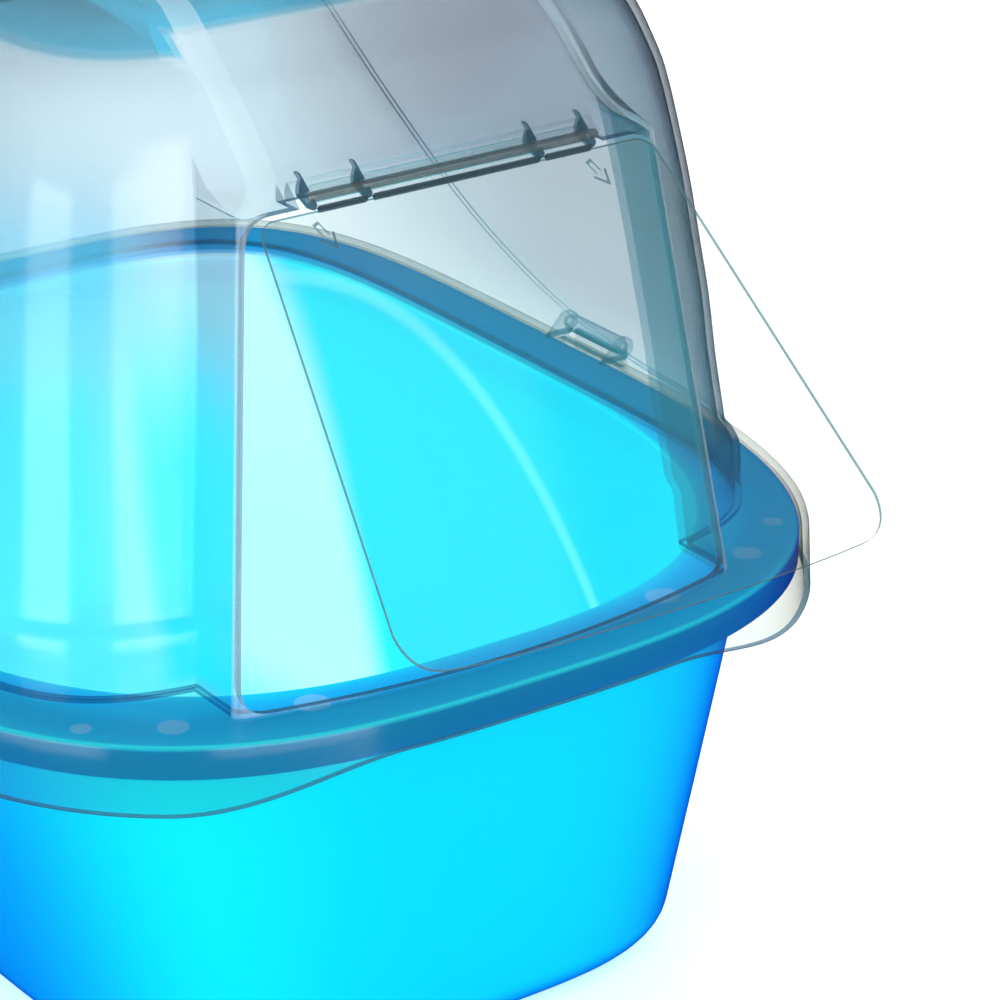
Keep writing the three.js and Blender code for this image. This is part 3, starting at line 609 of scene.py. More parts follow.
# the pan's section as (plan, height) rows, from the middle of its floor round the rim to the inside
def panRows():
    under = panHigh.z - wall
    foot = panHigh.z - pan["rimSkirt"]

    def corner(inside):
        inward = wall if inside else 0
        radius = pan["floorCorner"] - inward
        rows = []
        for step in range(11):
            angle = math.pi / 2 * step / 10
            height = inward + radius * (1 - math.cos(angle))
            rows.append((footPlan(height, inward + radius * (1 - math.sin(angle))), height))
        return rows

    def side(start, end, endHeight, steps):
        plan, height = start
        shares = [i / steps for i in range(1, steps + 1)]
        return [(between(plan, end, share), lerp(height, endHeight, share)) for share in shares]

    def rounded(plan, height, radius, quarter, steps=4):
        # quarter 0 is an outer top corner, 1 an outer bottom one, 2 an inner top one
        rows = []
        for step in range(steps + 1):
            angle = math.pi / 2 * step / steps
            back, up = radius * (1 - math.cos(angle)), radius * math.sin(angle)
            if quarter == 0:
                rows.append((grown(plan, -back), height - radius + up))
            if quarter == 1:
                rows.append((grown(plan, -radius + up), height + back))
            if quarter == 2:
                rows.append((grown(plan, -up + radius), height - back))
        return rows

    pole = {**panPlan, "half": 0.01, "front": 0.01, "back": 0.01}
    rows = [(pole, 0), (between(pole, footPlan(0, pan["floorCorner"]), 0.5), 0), *corner(False)]
    rows += side(rows[-1], panPlan, under - 2, 10)
    rows += [(grown(panPlan, 0.6), under - 0.6), (grown(panPlan, 2), under)]
    rows += side(rows[-1], grown(rimPlan, -wall), under, 3)
    rows += side(rows[-1], grown(rimPlan, -wall), foot, 2)
    rows += rounded(grown(rimPlan, 0), foot, 0.8, 1)
    rows += rounded(rimPlan, panHigh.z, 2.2, 0, 6)
    rows += side(rows[-1], grown(lipPlan, 1), panHigh.z, 5)
    outerCount = len(rows)
    rows += rounded(lipPlan, panHigh.z, 1, 2)
    rows += [(lipPlan, under + 0.4), (grown(lipPlan, 0.4), under)]
    rows += side(rows[-1], grown(panPlan, -wall), under - 0.4, 3)
    inner = corner(True)[::-1]
    rows += side(rows[-1], inner[0][0], inner[0][1], 10)
    rows += inner[1:]
    rows += [(between(pole, footPlan(wall, pan["floorCorner"]), 0.5), wall), (pole, wall)]
    return rows, outerCount


# Geometry Nodes: a skin whose rows are superellipses. The incoming points carry each row's sizes.
def panSkinTree(rowCount):
    tree, given = newTree("panSkin", {"Rows": "Geometry", "Columns": "Int", "Plastic": "Material"}, "Skin")
    across = mathNode(tree, "ADD", given["Columns"], 1)
    grid = addNode(tree, "GeometryNodeMeshGrid", {
        "Size X": 1, "Size Y": 1, "Vertices X": across, "Vertices Y": rowCount,
    })
    place = addNode(tree, "ShaderNodeSeparateXYZ", {0: addNode(tree, "GeometryNodeInputPosition").outputs[0]})
    row = mathNode(tree, "MULTIPLY_ADD", place.outputs[1], rowCount - 1, (rowCount - 1) / 2)
    rowIndex = addNode(tree, "FunctionNodeFloatToInt", {0: row}, rounding_mode="ROUND")
    sizes = {}
    for name in ("half", "front", "back", "frontPower", "backPower", "height", "inside"):
        stored = addNode(tree, "GeometryNodeInputNamedAttribute", {"Name": name}, data_type="FLOAT")
        sizes[name] = addNode(tree, "GeometryNodeSampleIndex", {
            "Geometry": given["Rows"], "Value": stored.outputs[0], "Index": rowIndex.outputs[0],
        }, data_type="FLOAT", domain="POINT").outputs[0]
    angle = mathNode(tree, "MULTIPLY", place.outputs[0], 2 * math.pi)
    across, along = mathNode(tree, "COSINE", angle), mathNode(tree, "SINE", angle)
    isFront = mathNode(tree, "LESS_THAN", along, 0)
    power = mixNode(tree, isFront, sizes["backPower"], sizes["frontPower"], "FLOAT")
    reach = mixNode(tree, isFront, sizes["back"], sizes["front"], "FLOAT")

    def share(value, size):
        return mathNode(tree, "POWER", mathNode(tree, "ABSOLUTE", mathNode(tree, "DIVIDE", value, size)), power)

    total = mathNode(tree, "ADD", share(across, sizes["half"]), share(along, reach))
    radius = mathNode(tree, "POWER", total, mathNode(tree, "DIVIDE", -1, power))
    spot = addNode(tree, "ShaderNodeCombineXYZ", {
        0: mathNode(tree, "MULTIPLY", radius, across), 1: mathNode(tree, "MULTIPLY", radius, along),
        2: sizes["height"],
    })
    marked = addNode(tree, "GeometryNodeStoreNamedAttribute", {
        "Geometry": grid.outputs[0], "Name": "inside", "Value": sizes["inside"],
    }, data_type="FLOAT", domain="POINT")
    placed = addNode(tree, "GeometryNodeSetPosition", {0: marked.outputs[0], "Position": spot.outputs[0]})
    closed = addNode(tree, "GeometryNodeMergeByDistance", {0: placed.outputs[0], "Distance": 0.05 * mm})
    return endTree(tree, closed.outputs[0], given["Plastic"])


def useTree(piece, tree, **values):
    modifier = piece.modifiers.new("nodes", "NODES")
    modifier.node_group = tree
    for item in tree.interface.items_tree:
        if item.in_out == "INPUT" and item.name in values:
            modifier[item.identifier] = values[item.name]
    return applied(piece)


def makePan():
    rows, outerCount = panRows()
    piece = meshObject("panBody", [(0, 0, row) for row in range(len(rows))], [])

    def store(name, values):
        piece.data.attributes.new(name, "FLOAT", "POINT").data.foreach_set("value", values)

    for name in ("half", "front", "back", "frontPower", "backPower"):
        scale = 1 if name.endswith("Power") else mm
        store(name, [plan[name] * scale for plan, height in rows])
    store("height", [height * mm for plan, height in rows])
    store("inside", [1.0 if row >= outerCount else 0.0 for row in range(len(rows))])
    useTree(piece, panSkinTree(len(rows)), Columns=pan["columns"], Plastic=panPlastic)
    faceOut(piece)
    shaded(piece, 50)
    finish(piece, "pan", "pan_blue", "base_pan")


makePan()


# the hood

hood = {
    "half": 188.6, "front": 207.6, "back": 240, "power": 5.3, "rise": 243.5,
    "gap": 0.4, "skirtGap": 1, "skirtFlare": 1.5, "skirtShallow": 15, "skirtDeep": 30,
    "stepDepth": 4, "stepHeight": 27, "stepSweep": 0.00172, "stepSweepStart": -110, "stepHighest": 118,
    "platformHalf": 80, "platformRise": 6, "platformBack": 172,
    "columns": 320, "leanTop": 188,
}
door = {
    "foot": 233.2, "lean": 0.131, "bow": 16, "halfFoot": 116.3, "halfHead": 93.4, "height": 186.2,
    "sill": 0.3, "post": 2.6, "corner": 11, "bowFade": 60, "ridgeTurn": 4, "frontPoints": 23,
}
hinge = {"outer": 64.1, "inner": 39.6, "fin": 1.6, "trough": 8.5, "rod": 2, "clearance": 0.3}
ledgeTop = panHigh.z + hood["gap"] + wall
ledgeUnder = ledgeTop - wall
roofTop = ledgeTop + hood["rise"]
platformTop = roofTop + hood["platformRise"] - 1
hoodPlan = {"half": hood["half"], "front": hood["front"], "back": hood["back"], "frontPower": hood["power"],
            "backPower": hood["power"]}
creasePlan = grown(rimPlan, hood["skirtGap"] + wall)
hoodPlastics = (hoodPlastic, hoodCutEdge, hoodRidgeHighlight)

# how far the wall has leaned in at a height above the ledge
leanTable = [
    (0, 0), (25, 1.5), (45, 4), (65, 6.5), (90, 9), (115, 12.5), (140, 16), (163, 20), (188, 25), (203, 30),
    (215, 35), (224, 42), (231, 52), (236, 64), (240, 82), (242.3, 110),
]


def planAngles(plan, count):
    # directions that space a plan's points evenly, closer together where it turns
    fine = 2400
    angles = [math.pi * (i / fine - 0.5) for i in range(fine + 1)]
    points = [Vector(planPoint(plan, angle)) for angle in angles]
    total = [0]
    for i in range(1, fine + 1):
        step = points[i] - points[i - 1]
        turn = 0
        if i < fine:
            turn = abs(step.angle(points[i + 1] - points[i]))
        total.append(total[-1] + step.length + 160 * turn)
    half, chosen, at = count // 2, [], 0
    for i in range(half + 1):
        wanted = total[-1] * i / half
        while at < fine and total[at + 1] < wanted:
            at += 1
        chosen.append(angles[min(at, fine)])
    chosen[0], chosen[-1] = -math.pi / 2, math.pi / 2
    return chosen + [math.pi - angle for angle in chosen[-2:0:-1]]


hoodAngles = planAngles(hoodPlan, hood["columns"])
skirtAngles = planAngles(creasePlan, hood["columns"])


def ringOf(plan, height, angles):
    ring = []
    for angle in angles:
        x, y = planPoint(plan, angle)
        ring.append((x, y, height(x, y) if callable(height) else height))
    return ring


def stepRise(y):
    along = max(0, y - hood["stepSweepStart"])
    return hood["stepHeight"] + min(hood["stepHighest"], hood["stepSweep"] * along * along)


def hoodSkin(name, inward, bottom):
    flat = ringOf(grown(hoodPlan, -inward), 0, hoodAngles)

    def leaning(riseAt, standIn):
        ring = []
        for x, y, _ in flat:
            rise = riseAt(y)
            inset = smoothTable(leanTable, rise) + standIn
            reach = (hoodPlan["front"] if y < 0 else hoodPlan["back"]) - inward
            lowered = inward * smoothstep(rise, 150, 240)
            ring.append((x * (1 - inset / (hoodPlan["half"] - inward)), y * (1 - inset / reach),
                         ledgeTop + rise - lowered))
        return ring

    rings = [[(x, y, bottom) for x, y, _ in flat]]
    for share in range(7):
        rings.append(leaning(lambda y: share / 6 * (stepRise(y) - 3), 0))
    for step in range(1, 6):
        rise = lerp(-3, 3, step / 6)
        rings.append(leaning(lambda y: stepRise(y) + rise, hood["stepDepth"] * smoothstep(step / 6, 0, 1)))
    for share in range(19):
        rings.append(leaning(lambda y: lerp(stepRise(y) + 3, hood["leanTop"], share / 18), hood["stepDepth"]))
    tableTop = leanTable[-1][0]
    for share in range(1, 25):
        rise = tableTop - (tableTop - hood["leanTop"]) * (1 - share / 24) ** 1.8
        rings.append(leaning(lambda y: rise, hood["stepDepth"]))
    edge = rings[-1]
    for share in (0.7, 0.4, 0.15):
        top = roofTop - inward
        rings.append([(x * share, y * share, lerp(z, top, 1 - share)) for x, y, z in edge])
    return loft(name, rings, hoodPlastics)


def skirtEdge(x, y):
    across = smoothstep(abs(x), 62, 152)
    along = smoothstep(abs(y), 90, 190)
    return ledgeTop - lerp(hood["skirtShallow"], hood["skirtDeep"], across * along)


def ledgeAndSkirt():
    under = grown(hoodPlan, -wall * 1.6)
    flared = grown(creasePlan, hood["skirtFlare"])
    angles = skirtAngles

    def drop(plan, lift):
        return ringOf(plan, lambda x, y: skirtEdge(x, y) + lift, angles)

    def down(share):
        plan = between(grown(creasePlan, 0.3), flared, share)
        return ringOf(plan, lambda x, y: lerp(ledgeTop - wall * 1.2, skirtEdge(x, y) + 0.7, share), angles)

    rings = [
        ringOf(under, ledgeUnder, angles),
        ringOf(grown(creasePlan, -wall - 1), ledgeUnder, angles),
        ringOf(grown(creasePlan, -wall), ledgeUnder - 1, angles),
        drop(grown(flared, -wall), 0.7),
        drop(grown(flared, -wall + 0.6), 0),
        drop(grown(flared, -0.6), 0),
        drop(flared, 0.7),
        down(0.75), down(0.5), down(0.25), down(0),
        ringOf(grown(creasePlan, 0), ledgeTop - wall * 0.6, angles),
        ringOf(grown(creasePlan, -0.9), ledgeTop - wall * 0.22, angles),
        ringOf(grown(creasePlan, -wall), ledgeTop, angles),
        ringOf(between(creasePlan, under, 0.5), ledgeTop, angles),
        ringOf(under, ledgeTop, angles),
    ]
    return loft("ledge", rings, hoodPlastics, looped=True, edgeBands=(3, 4, 5))


# the door surround as (rise, half-width of its face, widening behind it, depth of that, reach forward)
shoulderTable = {
    "wider": [(0, None), (3, 12.5), (8, 4.5), (13, 2), (24, 0.8), (35, 0.2), (42, -0.2), (50, -0.5), (56, -1),
              (60, -2), (62.3, -3.5)],
    "flare": [(0, 0), (3, 3), (8, 10.5), (13, 12), (24, 11.5), (35, 10.5), (42, 10.3), (50, 10), (56, 8.5),
              (60, 5), (62.3, 2.5)],
    "run": [(0, 5), (3, 10), (8, 18), (13, 18), (24, 13), (35, 9), (42, 8), (50, 8), (56, 8), (60, 8),
            (62.3, 8)],
    "back": [(0, 0), (3, 3), (8, 8.5), (13, 16), (24, 29), (35, 41), (42, 51), (50, 61), (56, 69), (60, 77),
             (62.3, 88)],
}
shoulderTable["wider"][0] = (0, door["halfHead"] + door["post"] - hood["platformHalf"])


def surroundSections(lowest):
    def faceHalf(rise):
        return lerp(door["halfFoot"], door["halfHead"], rise / door["height"]) + door["post"]

    sections = []
    face = [lowest, 0, 5, 10, 15, 20, 25, 30, 35, 40, 46, 53, 60, 80, 100, 120, 140, 160, 174]
    for rise in face:
        sections.append((rise, faceHalf(rise), 0, 5, door["foot"] - door["lean"] * rise))
    headReach = door["foot"] - door["lean"] * door["height"]
    above = 0
    shoulderTop = shoulderTable["back"][-1][0]
    while above < shoulderTop:
        values = {key: smoothTable(table, above) for key, table in shoulderTable.items()}
        sections.append((door["height"] + above, hood["platformHalf"] + values["wider"], values["flare"],
                         values["run"], headReach - values["back"]))
        above += 1 if above < 14 else 2.4
    values = {key: table[-1][1] for key, table in shoulderTable.items()}
    sections.append((door["height"] + shoulderTop, hood["platformHalf"] + values["wider"], values["flare"],
                     values["run"], headReach - values["back"]))
    return sections


def surroundRing(section, inward):
    rise, faceHalf, flare, run, faceReach = section
    half, reach = faceHalf - inward, faceReach - inward
    wide, back = half + flare, hood["platformBack"] - inward
    bow = door["bow"] * max(0, 1 - max(0, rise) / door["bowFade"]) ** 2
    lowered = inward * (rise / hood["rise"]) if rise > door["height"] else 0
    ridge, foot = Vector((half, -reach)), Vector((wide, run - reach))
    side = (foot - ridge).normalized()
    turn, count = door["ridgeTurn"], door["frontPoints"]
    corner = bend((half - turn, -reach), ridge, ridge + side * turn, 6)
    corner += [tuple((ridge + side * turn).lerp(foot, share)) for share in (0.5, 1)]
    front = [(lerp(turn - half, half - turn, i / (count + 1)), -reach) for i in range(1, count + 1)]
    sideWays = [(wide, lerp(run - reach, back - 6, i / 10)) for i in range(1, 11)]
    rear = arc((wide - 6, back - 6), 6, 0, 90, 4)[1:]
    rightHalf = corner + sideWays + rear
    leftHalf = [(-x, y) for x, y in rightHalf]
    points = rightHalf + leftHalf[::-1] + front
    ring = []
    for x, y in points:
        forward = bow * max(0, 1 - (x / half) ** 2) if y < run - reach else 0
        ring.append((x, y - forward, ledgeTop + rise - lowered))
    return ring


def surroundSkin(name, inward, bottom):
    rings = [surroundRing(section, inward) for section in surroundSections(bottom - ledgeTop)]
    piece = loft(name, rings, hoodPlastics)
    if inward:
        return piece
    # the two upright ridges get a painted highlight: a paler, cloudier sheet
    half = (len(rings[0]) - door["frontPoints"]) // 2
    ridges = set(range(6)) | set(range(2 * half - 6, 2 * half))
    for face in piece.data.polygons:
        if face.index < len(rings[0]) * (len(rings) - 1) and face.index % len(rings[0]) in ridges:
            face.material_index = 2
    return piece


def doorCutter():
    foot, head, corner = ledgeTop + door["sill"], ledgeTop + door["height"], door["corner"]

    def halfAt(z):
        return lerp(door["halfFoot"], door["halfHead"], (z - ledgeTop) / door["height"])

    low, high = foot + corner, head - corner
    right = bend((halfAt(foot) - corner, foot), (halfAt(foot), foot), (halfAt(low), low), 10)
    right += bend((halfAt(high), high), (halfAt(head), head), (halfAt(head) - corner, head), 10)
    outline = right + [(-x, z) for x, z in right[::-1]]
    low, high = -door["foot"] - door["bow"] - 10, rodAxis.y + hinge["trough"] * 2
    cutter = prism("doorCutter", outline, "xz", low, high, hoodPlastics, edgeIndex=1)
    return cutter


# Geometry Nodes: one fin stood at each of the given points
def finRowTree():
    tree, given = newTree("finRow", {"Places": "Geometry", "Fin": "Object", "Plastic": "Material"}, "Fins")
    shape = addNode(tree, "GeometryNodeObjectInfo", {"Object": given["Fin"]})
    stood = addNode(tree, "GeometryNodeInstanceOnPoints", {
        "Points": given["Places"], "Instance": shape.outputs["Geometry"],
    })
    return endTree(tree, stood.outputs[0], given["Plastic"])


def hingeFins():
    y, z = rodAxis.y, rodAxis.z
    outline = [(y + 10, z + 1), (y + 9.6, z + 7.8), (y + 7, z + 7.4), (y - 4.6, z - 1.6), (y - 3.6, z - 4),
               (y + 1, z - 4.4), (y + 8, z - 1.5)]
    fin = prism("fin", outline, "yz", -hinge["fin"] / 2, hinge["fin"] / 2, hoodPlastics)
    softened(fin, 0.35, 2)
    places = [(x, 0, 0) for x in (-hinge["outer"], -hinge["inner"], hinge["inner"], hinge["outer"])]
    fins = meshObject("fins", places, [])
    useTree(fins, finRowTree(), Fin=fin, Plastic=hoodCutEdge)
    fins.data.materials.clear()
    for material in hoodPlastics:
        fins.data.materials.append(material)
    fins.data.polygons.foreach_set("material_index", [1] * len(fins.data.polygons))
    bpy.data.objects.remove(fin)
    return fins


handle = {"half": 53, "reach": 62, "thick": 10, "pin": 2.5, "clearance": 0.3, "ear": 4.4, "bend": 14}
latch = {"half": 19, "barrel": 4.2, "plate": 2.4, "hook": 3.4, "hookGap": 6.5, "pin": 2.2, "clearance": 0.3}


def handleEar(side):
    inner = handle["half"] + handle["thick"] / 2 + handle["clearance"] * 2
    y, z = handleAxis.y, handleAxis.z
    foot = platformTop - 1
    outline = [(y - 13, foot), (y + 13, foot), (y + 8.6, z + 1)]
    outline += arc((y, z), 6, 10, 170, 10) + [(y - 8.6, z + 1)]
    low = inner if side > 0 else -inner - handle["ear"]
    return softened(prism("ear", outline, "yz", low, low + handle["ear"], hoodPlastics), 0.6)


def latchEar(side, end):
    low = latch["half"] + 0.8 if end > 0 else -latch["half"] - 3.8
    x, z = latchAxis.x, latchAxis.z
    outline = [(x - 14, ledgeTop - 1), (x - 1.2, ledgeTop - 1), (x + 4.6, z - 2), (x + 4.6, z + 2.6),
               (x + 1.6, z + 5), (x - 3, z + 4.6)]
    outline = [(side * across, up) for across, up in outline]
    return softened(prism("ear", outline, "xz", low, low + 3, hoodPlastics), 0.4)


def trayOutline(extra):
    return roundedBox(tray["half"] + extra, tray["middle"] - tray["length"] / 2 - extra,
                      tray["middle"] + tray["length"] / 2 + extra, 6 + extra)


tray = {
    "half": 54, "length": 88, "middle": 104, "depth": 14, "wall": 1.8, "lip": 5, "gap": 0.4,
    "slot": 3, "pitch": 9, "cover": 2.4,
}


def makeHood():
    piece = hoodSkin("hoodShell", 0, ledgeUnder + 0.2)
    joined(piece, surroundSkin("face", 0, ledgeUnder + 0.2), ledgeAndSkirt())

    def alongRod(name, past, radius):
        far = hinge["outer"] + past
        return turned(name, [(-far, radius), (far, radius)], "x", (rodAxis.y, rodAxis.z), hoodPlastics, 56)

    trough = alongRod("trough", 8, hinge["trough"] + wall)
    outside = hoodSkin("outside", 0, ledgeUnder + 0.2)
    joined(outside, surroundSkin("face", 0, ledgeUnder + 0.2))
    combine(trough, [outside], "INTERSECT")
    inside = hoodSkin("inside", wall, ledgeUnder - 20)
    joined(inside, surroundSkin("face", wall, ledgeUnder - 20))
    cutBy(piece, inside)
    joined(piece, trough)
    cutBy(piece, alongRod("groove", 5.6, hinge["trough"]), doorCutter())
    joined(piece, hingeFins())
    rodBore = hinge["rod"] + hinge["clearance"]
    rodFar = hinge["outer"] + 3
    cutBy(piece, pin("bore", rodBore, -rodFar, rodFar, "x", (rodAxis.y, rodAxis.z), hoodPlastics))
    for side in (-1, 1):
        joined(piece, handleEar(side))
        near, far = creasePlan["half"] - 8, creasePlan["half"] + 8
        pocket = latch["half"] + 5
        corners = [(side * near, 0), (side * far, 0), (side * far, ledgeUnder), (side * near, ledgeUnder)]
        cutBy(piece, prism("pocket", corners, "xz", -pocket, pocket, hoodPlastics, 1))
        joined(piece, latchEar(side, -1), latchEar(side, 1))
        cutBy(piece, pin("bore", latch["pin"] + latch["clearance"], -pocket, pocket, "y",
                         (side * latchAxis.x, latchAxis.z), hoodPlastics))
    far = handle["half"] + handle["thick"] / 2 + handle["ear"] + 2
    cutBy(piece, pin("bore", handle["pin"] + handle["clearance"], -far, far, "x",
                     (handleAxis.y, handleAxis.z), hoodPlastics))
    hole = trayOutline(tray["gap"])
    cutBy(piece, prism("cutOut", hole, "xy", roofTop - 30, platformTop + 1, hoodPlastics, 1))
    shaded(piece, 32)
    finish(piece, "hood", "hood_smoke", "hood_shell")


makeHood()


def makeRod():
    low = -hinge["outer"] - hinge["fin"] / 2
    high = hinge["outer"] + 4.4
    radius = hinge["rod"]
    ends = [(math.sin(a) * radius, math.cos(a) * radius) for a in (math.radians(12 * i) for i in range(8))]
    profile = [(low + radius - along, max(out, 0.05)) for along, out in ends[::-1]]
    profile += [(high - radius + along, max(out, 0.05)) for along, out in ends]
    piece = turned("hingePin", profile, "x", (rodAxis.y, rodAxis.z), (rodPlastic,), 32)
    shaded(piece)
    finish(piece, "hood", "hood_smoke", "hinge_rod")


makeRod()


# the door flap, drawn hanging from the rod and then swung out to its rest angle

flap = {
    "length": 192.3, "thick": 2, "halfHead": 89.8, "halfFoot": 113.2, "top": 6, "corner": 18, "bow": 3.2,
    "hook": 2.2, "rest": 45.8,
    "arrow": 6.5, "arrowTurn": -68, "arrowRise": 0.3, "arrows": ((-65, -17), (60, -17)),
}
flapPlastics = (flapSheet, flapCutEdge, flapPaintedShadow)


def flapOutline():
    foot, head, corner = -flap["length"], -flap["top"], flap["corner"]
    low = foot + flap["bow"]

    def side(z):
        return lerp(flap["halfHead"], flap["halfFoot"], (z - head) / (foot - head))

    edge = bend((0, foot - 0.1), (60, foot), (side(foot) - corner, low), 14)
    end = (side(foot + corner), low + corner)
    edge += bend((side(foot) - corner, low), (side(foot) - 3, low + 2), end, 10)[1:]
    edge += bend((side(head - 8), head - 8), (side(head), head), (side(head) - 8, head), 8)
    return edge + [(-x, z) for x, z in edge[::-1][:-1]]


def swung(piece):
    turn = -math.radians(flap["rest"])
    for vertex in piece.data.vertices:
        x, y, z = vertex.co / mm
        vertex.co = Vector((
            x,
            rodAxis.y + y * math.cos(turn) - z * math.sin(turn),
            rodAxis.z + y * math.sin(turn) + z * math.cos(turn),
        )) * mm
    return piece


def flapHook(low, high):
    inner = hinge["rod"] + hinge["clearance"]
    outer = inner + flap["hook"]
    outline = arc((0, 0), outer, -150, 130, 36) + arc((0, 0), inner, 130, -150, 30)
    hook = prism("hook", outline, "yz", low, high, flapPlastics)
    half, top = flap["thick"] / 2, -flap["top"] - 1
    corners = [(-half, top), (half, top), (half, -inner - 0.6), (-half, -inner - 0.6)]
    neck = prism("neck", corners, "yz", low, high, flapPlastics)
    # the neck takes the painted shadow
    neck.data.polygons.foreach_set("material_index", [2] * len(neck.data.polygons))
    joined(hook, neck)
    return softened(hook, 0.25, 1)


def arrowMark(x, z):
    # a raised outline of a plain arrow that points down and to the right
    size, turn = flap["arrow"], math.radians(flap["arrowTurn"])
    shape = [(-1, -0.22), (0, -0.22), (0, -0.6), (1, 0), (0, 0.6), (0, 0.22), (-1, 0.22)]

    def placed(scale, back):
        points = [(size * scale * (a - back), size * scale * b) for a, b in shape]
        return [(x + a * math.cos(turn) - b * math.sin(turn), z + a * math.sin(turn) + b * math.cos(turn))
                for a, b in points]

    front = -flap["thick"] / 2
    ring = prism("arrow", placed(1, 0), "xz", front - flap["arrowRise"], front + 0.2, flapPlastics, 1)
    ring.data.polygons.foreach_set("material_index", [1] * len(ring.data.polygons))
    return cutBy(ring, prism("arrowInside", placed(0.78, 0.04), "xz", front - 1, front + 1, flapPlastics, 1))


def makeFlap():
    half = flap["thick"] / 2
    piece = prism("doorFlap", flapOutline(), "xz", -half, half, flapPlastics, edgeIndex=1)
    softened(piece, 0.45, 2)
    beside = hinge["fin"] / 2 + 0.8
    outer = (hinge["inner"] + beside, hinge["outer"] - beside)
    spans = [(-outer[1], -outer[0]), (beside - hinge["inner"], hinge["inner"] - beside), outer]
    joined(piece, *[flapHook(low, high) for low, high in spans])
    joined(piece, *[arrowMark(x, z) for x, z in flap["arrows"]])
    swung(piece)
    shaded(piece, 40)
    finish(piece, "door", "flap_clear", "door_flap")


makeFlap()


# the carry handle, folded forwards over the roof

def makeHandle():
    half, bendRadius, z = handle["half"], handle["bend"], handleAxis.z
    far = handleAxis.y - handle["reach"]
    turn = bend((-half, far + bendRadius), (-half, far), (-half + bendRadius, far), 14)
    path = [(-half, lerp(handleAxis.y, far + bendRadius, i / 16)) for i in range(16)] + turn
    path += [(lerp(-half + bendRadius, half - bendRadius, i / 100), far) for i in range(1, 100)]
    path += [(-x, y) for x, y in turn[::-1]]
    path += [(half, lerp(far + bendRadius, handleAxis.y, i / 16)) for i in range(1, 17)]
    points = [Vector(point) for point in path]
    rings = []
    for i, point in enumerate(points):
        run = (points[min(i + 1, len(points) - 1)] - points[max(i - 1, 0)]).normalized()
        side = Vector((-run.y, run.x))
        grip = smoothstep(36 - abs(point.x), 0, 4) * (0.5 - 0.5 * math.cos(point.x * 2 * math.pi / 6))
        ring = []
        for step in range(28):
            angle = 2 * math.pi * step / 28
            under = max(0, -math.sin(angle))
            radius = handle["thick"] / 2 - 0.5 * grip * under
            out = point + side * radius * math.cos(angle)
            ring.append((out.x, out.y, z + radius * math.sin(angle)))
        rings.append(ring)
    piece = loft("carryBail", rings, (trimPlastic,))
    for side in (-1, 1):
        inner = side * (half - handle["thick"] / 2 + 0.4)
        face = side * (half + handle["thick"] / 2)
        end = side * (half + handle["thick"] / 2 + handle["ear"])
        middle = (handleAxis.y, z)
        bossRadius, plastic = handle["thick"] / 2 + 0.4, (trimPlastic,)
        joined(
            piece,
            pin("boss", bossRadius, min(inner, face), max(inner, face), "x", middle, plastic, 0.6),
            pin("trunnion", handle["pin"], min(inner, end), max(inner, end), "x", middle, plastic, 0.5),
        )
    shaded(piece, 40)
    finish(piece, "handle", "pan_blue", "carry_handle")


makeHandle()


# Geometry Nodes: a row of round-ended slots cut through a plate
def slotRowTree():
    tree, given = newTree("slotRow", {
        "Plate": "Geometry", "Slot Width": "Float", "Slot Length": "Float", "Pitch": "Float", "Depth": "Float",
        "Count": "Int", "First Slot": "Vector", "Plastic": "Material",
    }, "Slotted")
    outline = addNode(tree, "GeometryNodeCurvePrimitiveQuadrilateral", {
        "Width": given["Slot Width"], "Height": given["Slot Length"],
    })
    nearHalf = mathNode(tree, "MULTIPLY", given["Slot Width"], 0.499)
    rounded = addNode(tree, "GeometryNodeFilletCurve", {
        "Curve": outline.outputs[0], "Radius": nearHalf, "Count": 6,
    }, mode="POLY")
    filled = addNode(tree, "GeometryNodeFillCurve", {0: rounded.outputs[0]}, mode="NGONS")
    up = addNode(tree, "ShaderNodeCombineXYZ", {2: given["Depth"]})
    raised = addNode(tree, "GeometryNodeExtrudeMesh", {
        "Mesh": filled.outputs[0], "Offset": up.outputs[0], "Offset Scale": 1, "Individual": False,
    })
    lid = addNode(tree, "GeometryNodeFlipFaces", {0: filled.outputs[0]})
    whole = addNode(tree, "GeometryNodeJoinGeometry")
    tree.links.new(raised.outputs[0], whole.inputs[0])
    tree.links.new(lid.outputs[0], whole.inputs[0])
    closed = addNode(tree, "GeometryNodeMergeByDistance", {0: whole.outputs[0], "Distance": 0.01 * mm})
    step = addNode(tree, "ShaderNodeCombineXYZ", {0: given["Pitch"]})
    line = addNode(tree, "GeometryNodeMeshLine", {
        "Count": given["Count"], "Start Location": given["First Slot"], "Offset": step.outputs[0],
    }, mode="OFFSET")
    row = addNode(tree, "GeometryNodeInstanceOnPoints", {0: line.outputs[0], "Instance": closed.outputs[0]})
    slots = addNode(tree, "GeometryNodeRealizeInstances", {0: row.outputs[0]})
    cut = addNode(tree, "GeometryNodeMeshBoolean", operation="DIFFERENCE", solver="MANIFOLD")
    tree.links.new(given["Plate"], cut.inputs[0])
    tree.links.new(slots.outputs[0], cut.inputs[1])
    return endTree(tree, cut.outputs[0], given["Plastic"])


slotTree = slotRowTree()


def slotted(plate, low, high, bottom, plastic):
    count = 2 * int((tray["half"] - 8) / tray["pitch"]) + 1
    first = (-(count - 1) / 2 * tray["pitch"], (low + high) / 2, bottom)
    return useTree(plate, slotTree, **{
        "Slot Width": tray["slot"] * mm, "Slot Length": (high - low) * mm, "Pitch": tray["pitch"] * mm,
        "Depth": 8 * mm, "Count": count, "First Slot": [value * mm for value in first], "Plastic": plastic,
    })


trayTop = platformTop + tray["gap"] + tray["wall"]
trayFloor = trayTop - tray["depth"]
trayLow = tray["middle"] - tray["length"] / 2
trayHigh = tray["middle"] + tray["length"] / 2


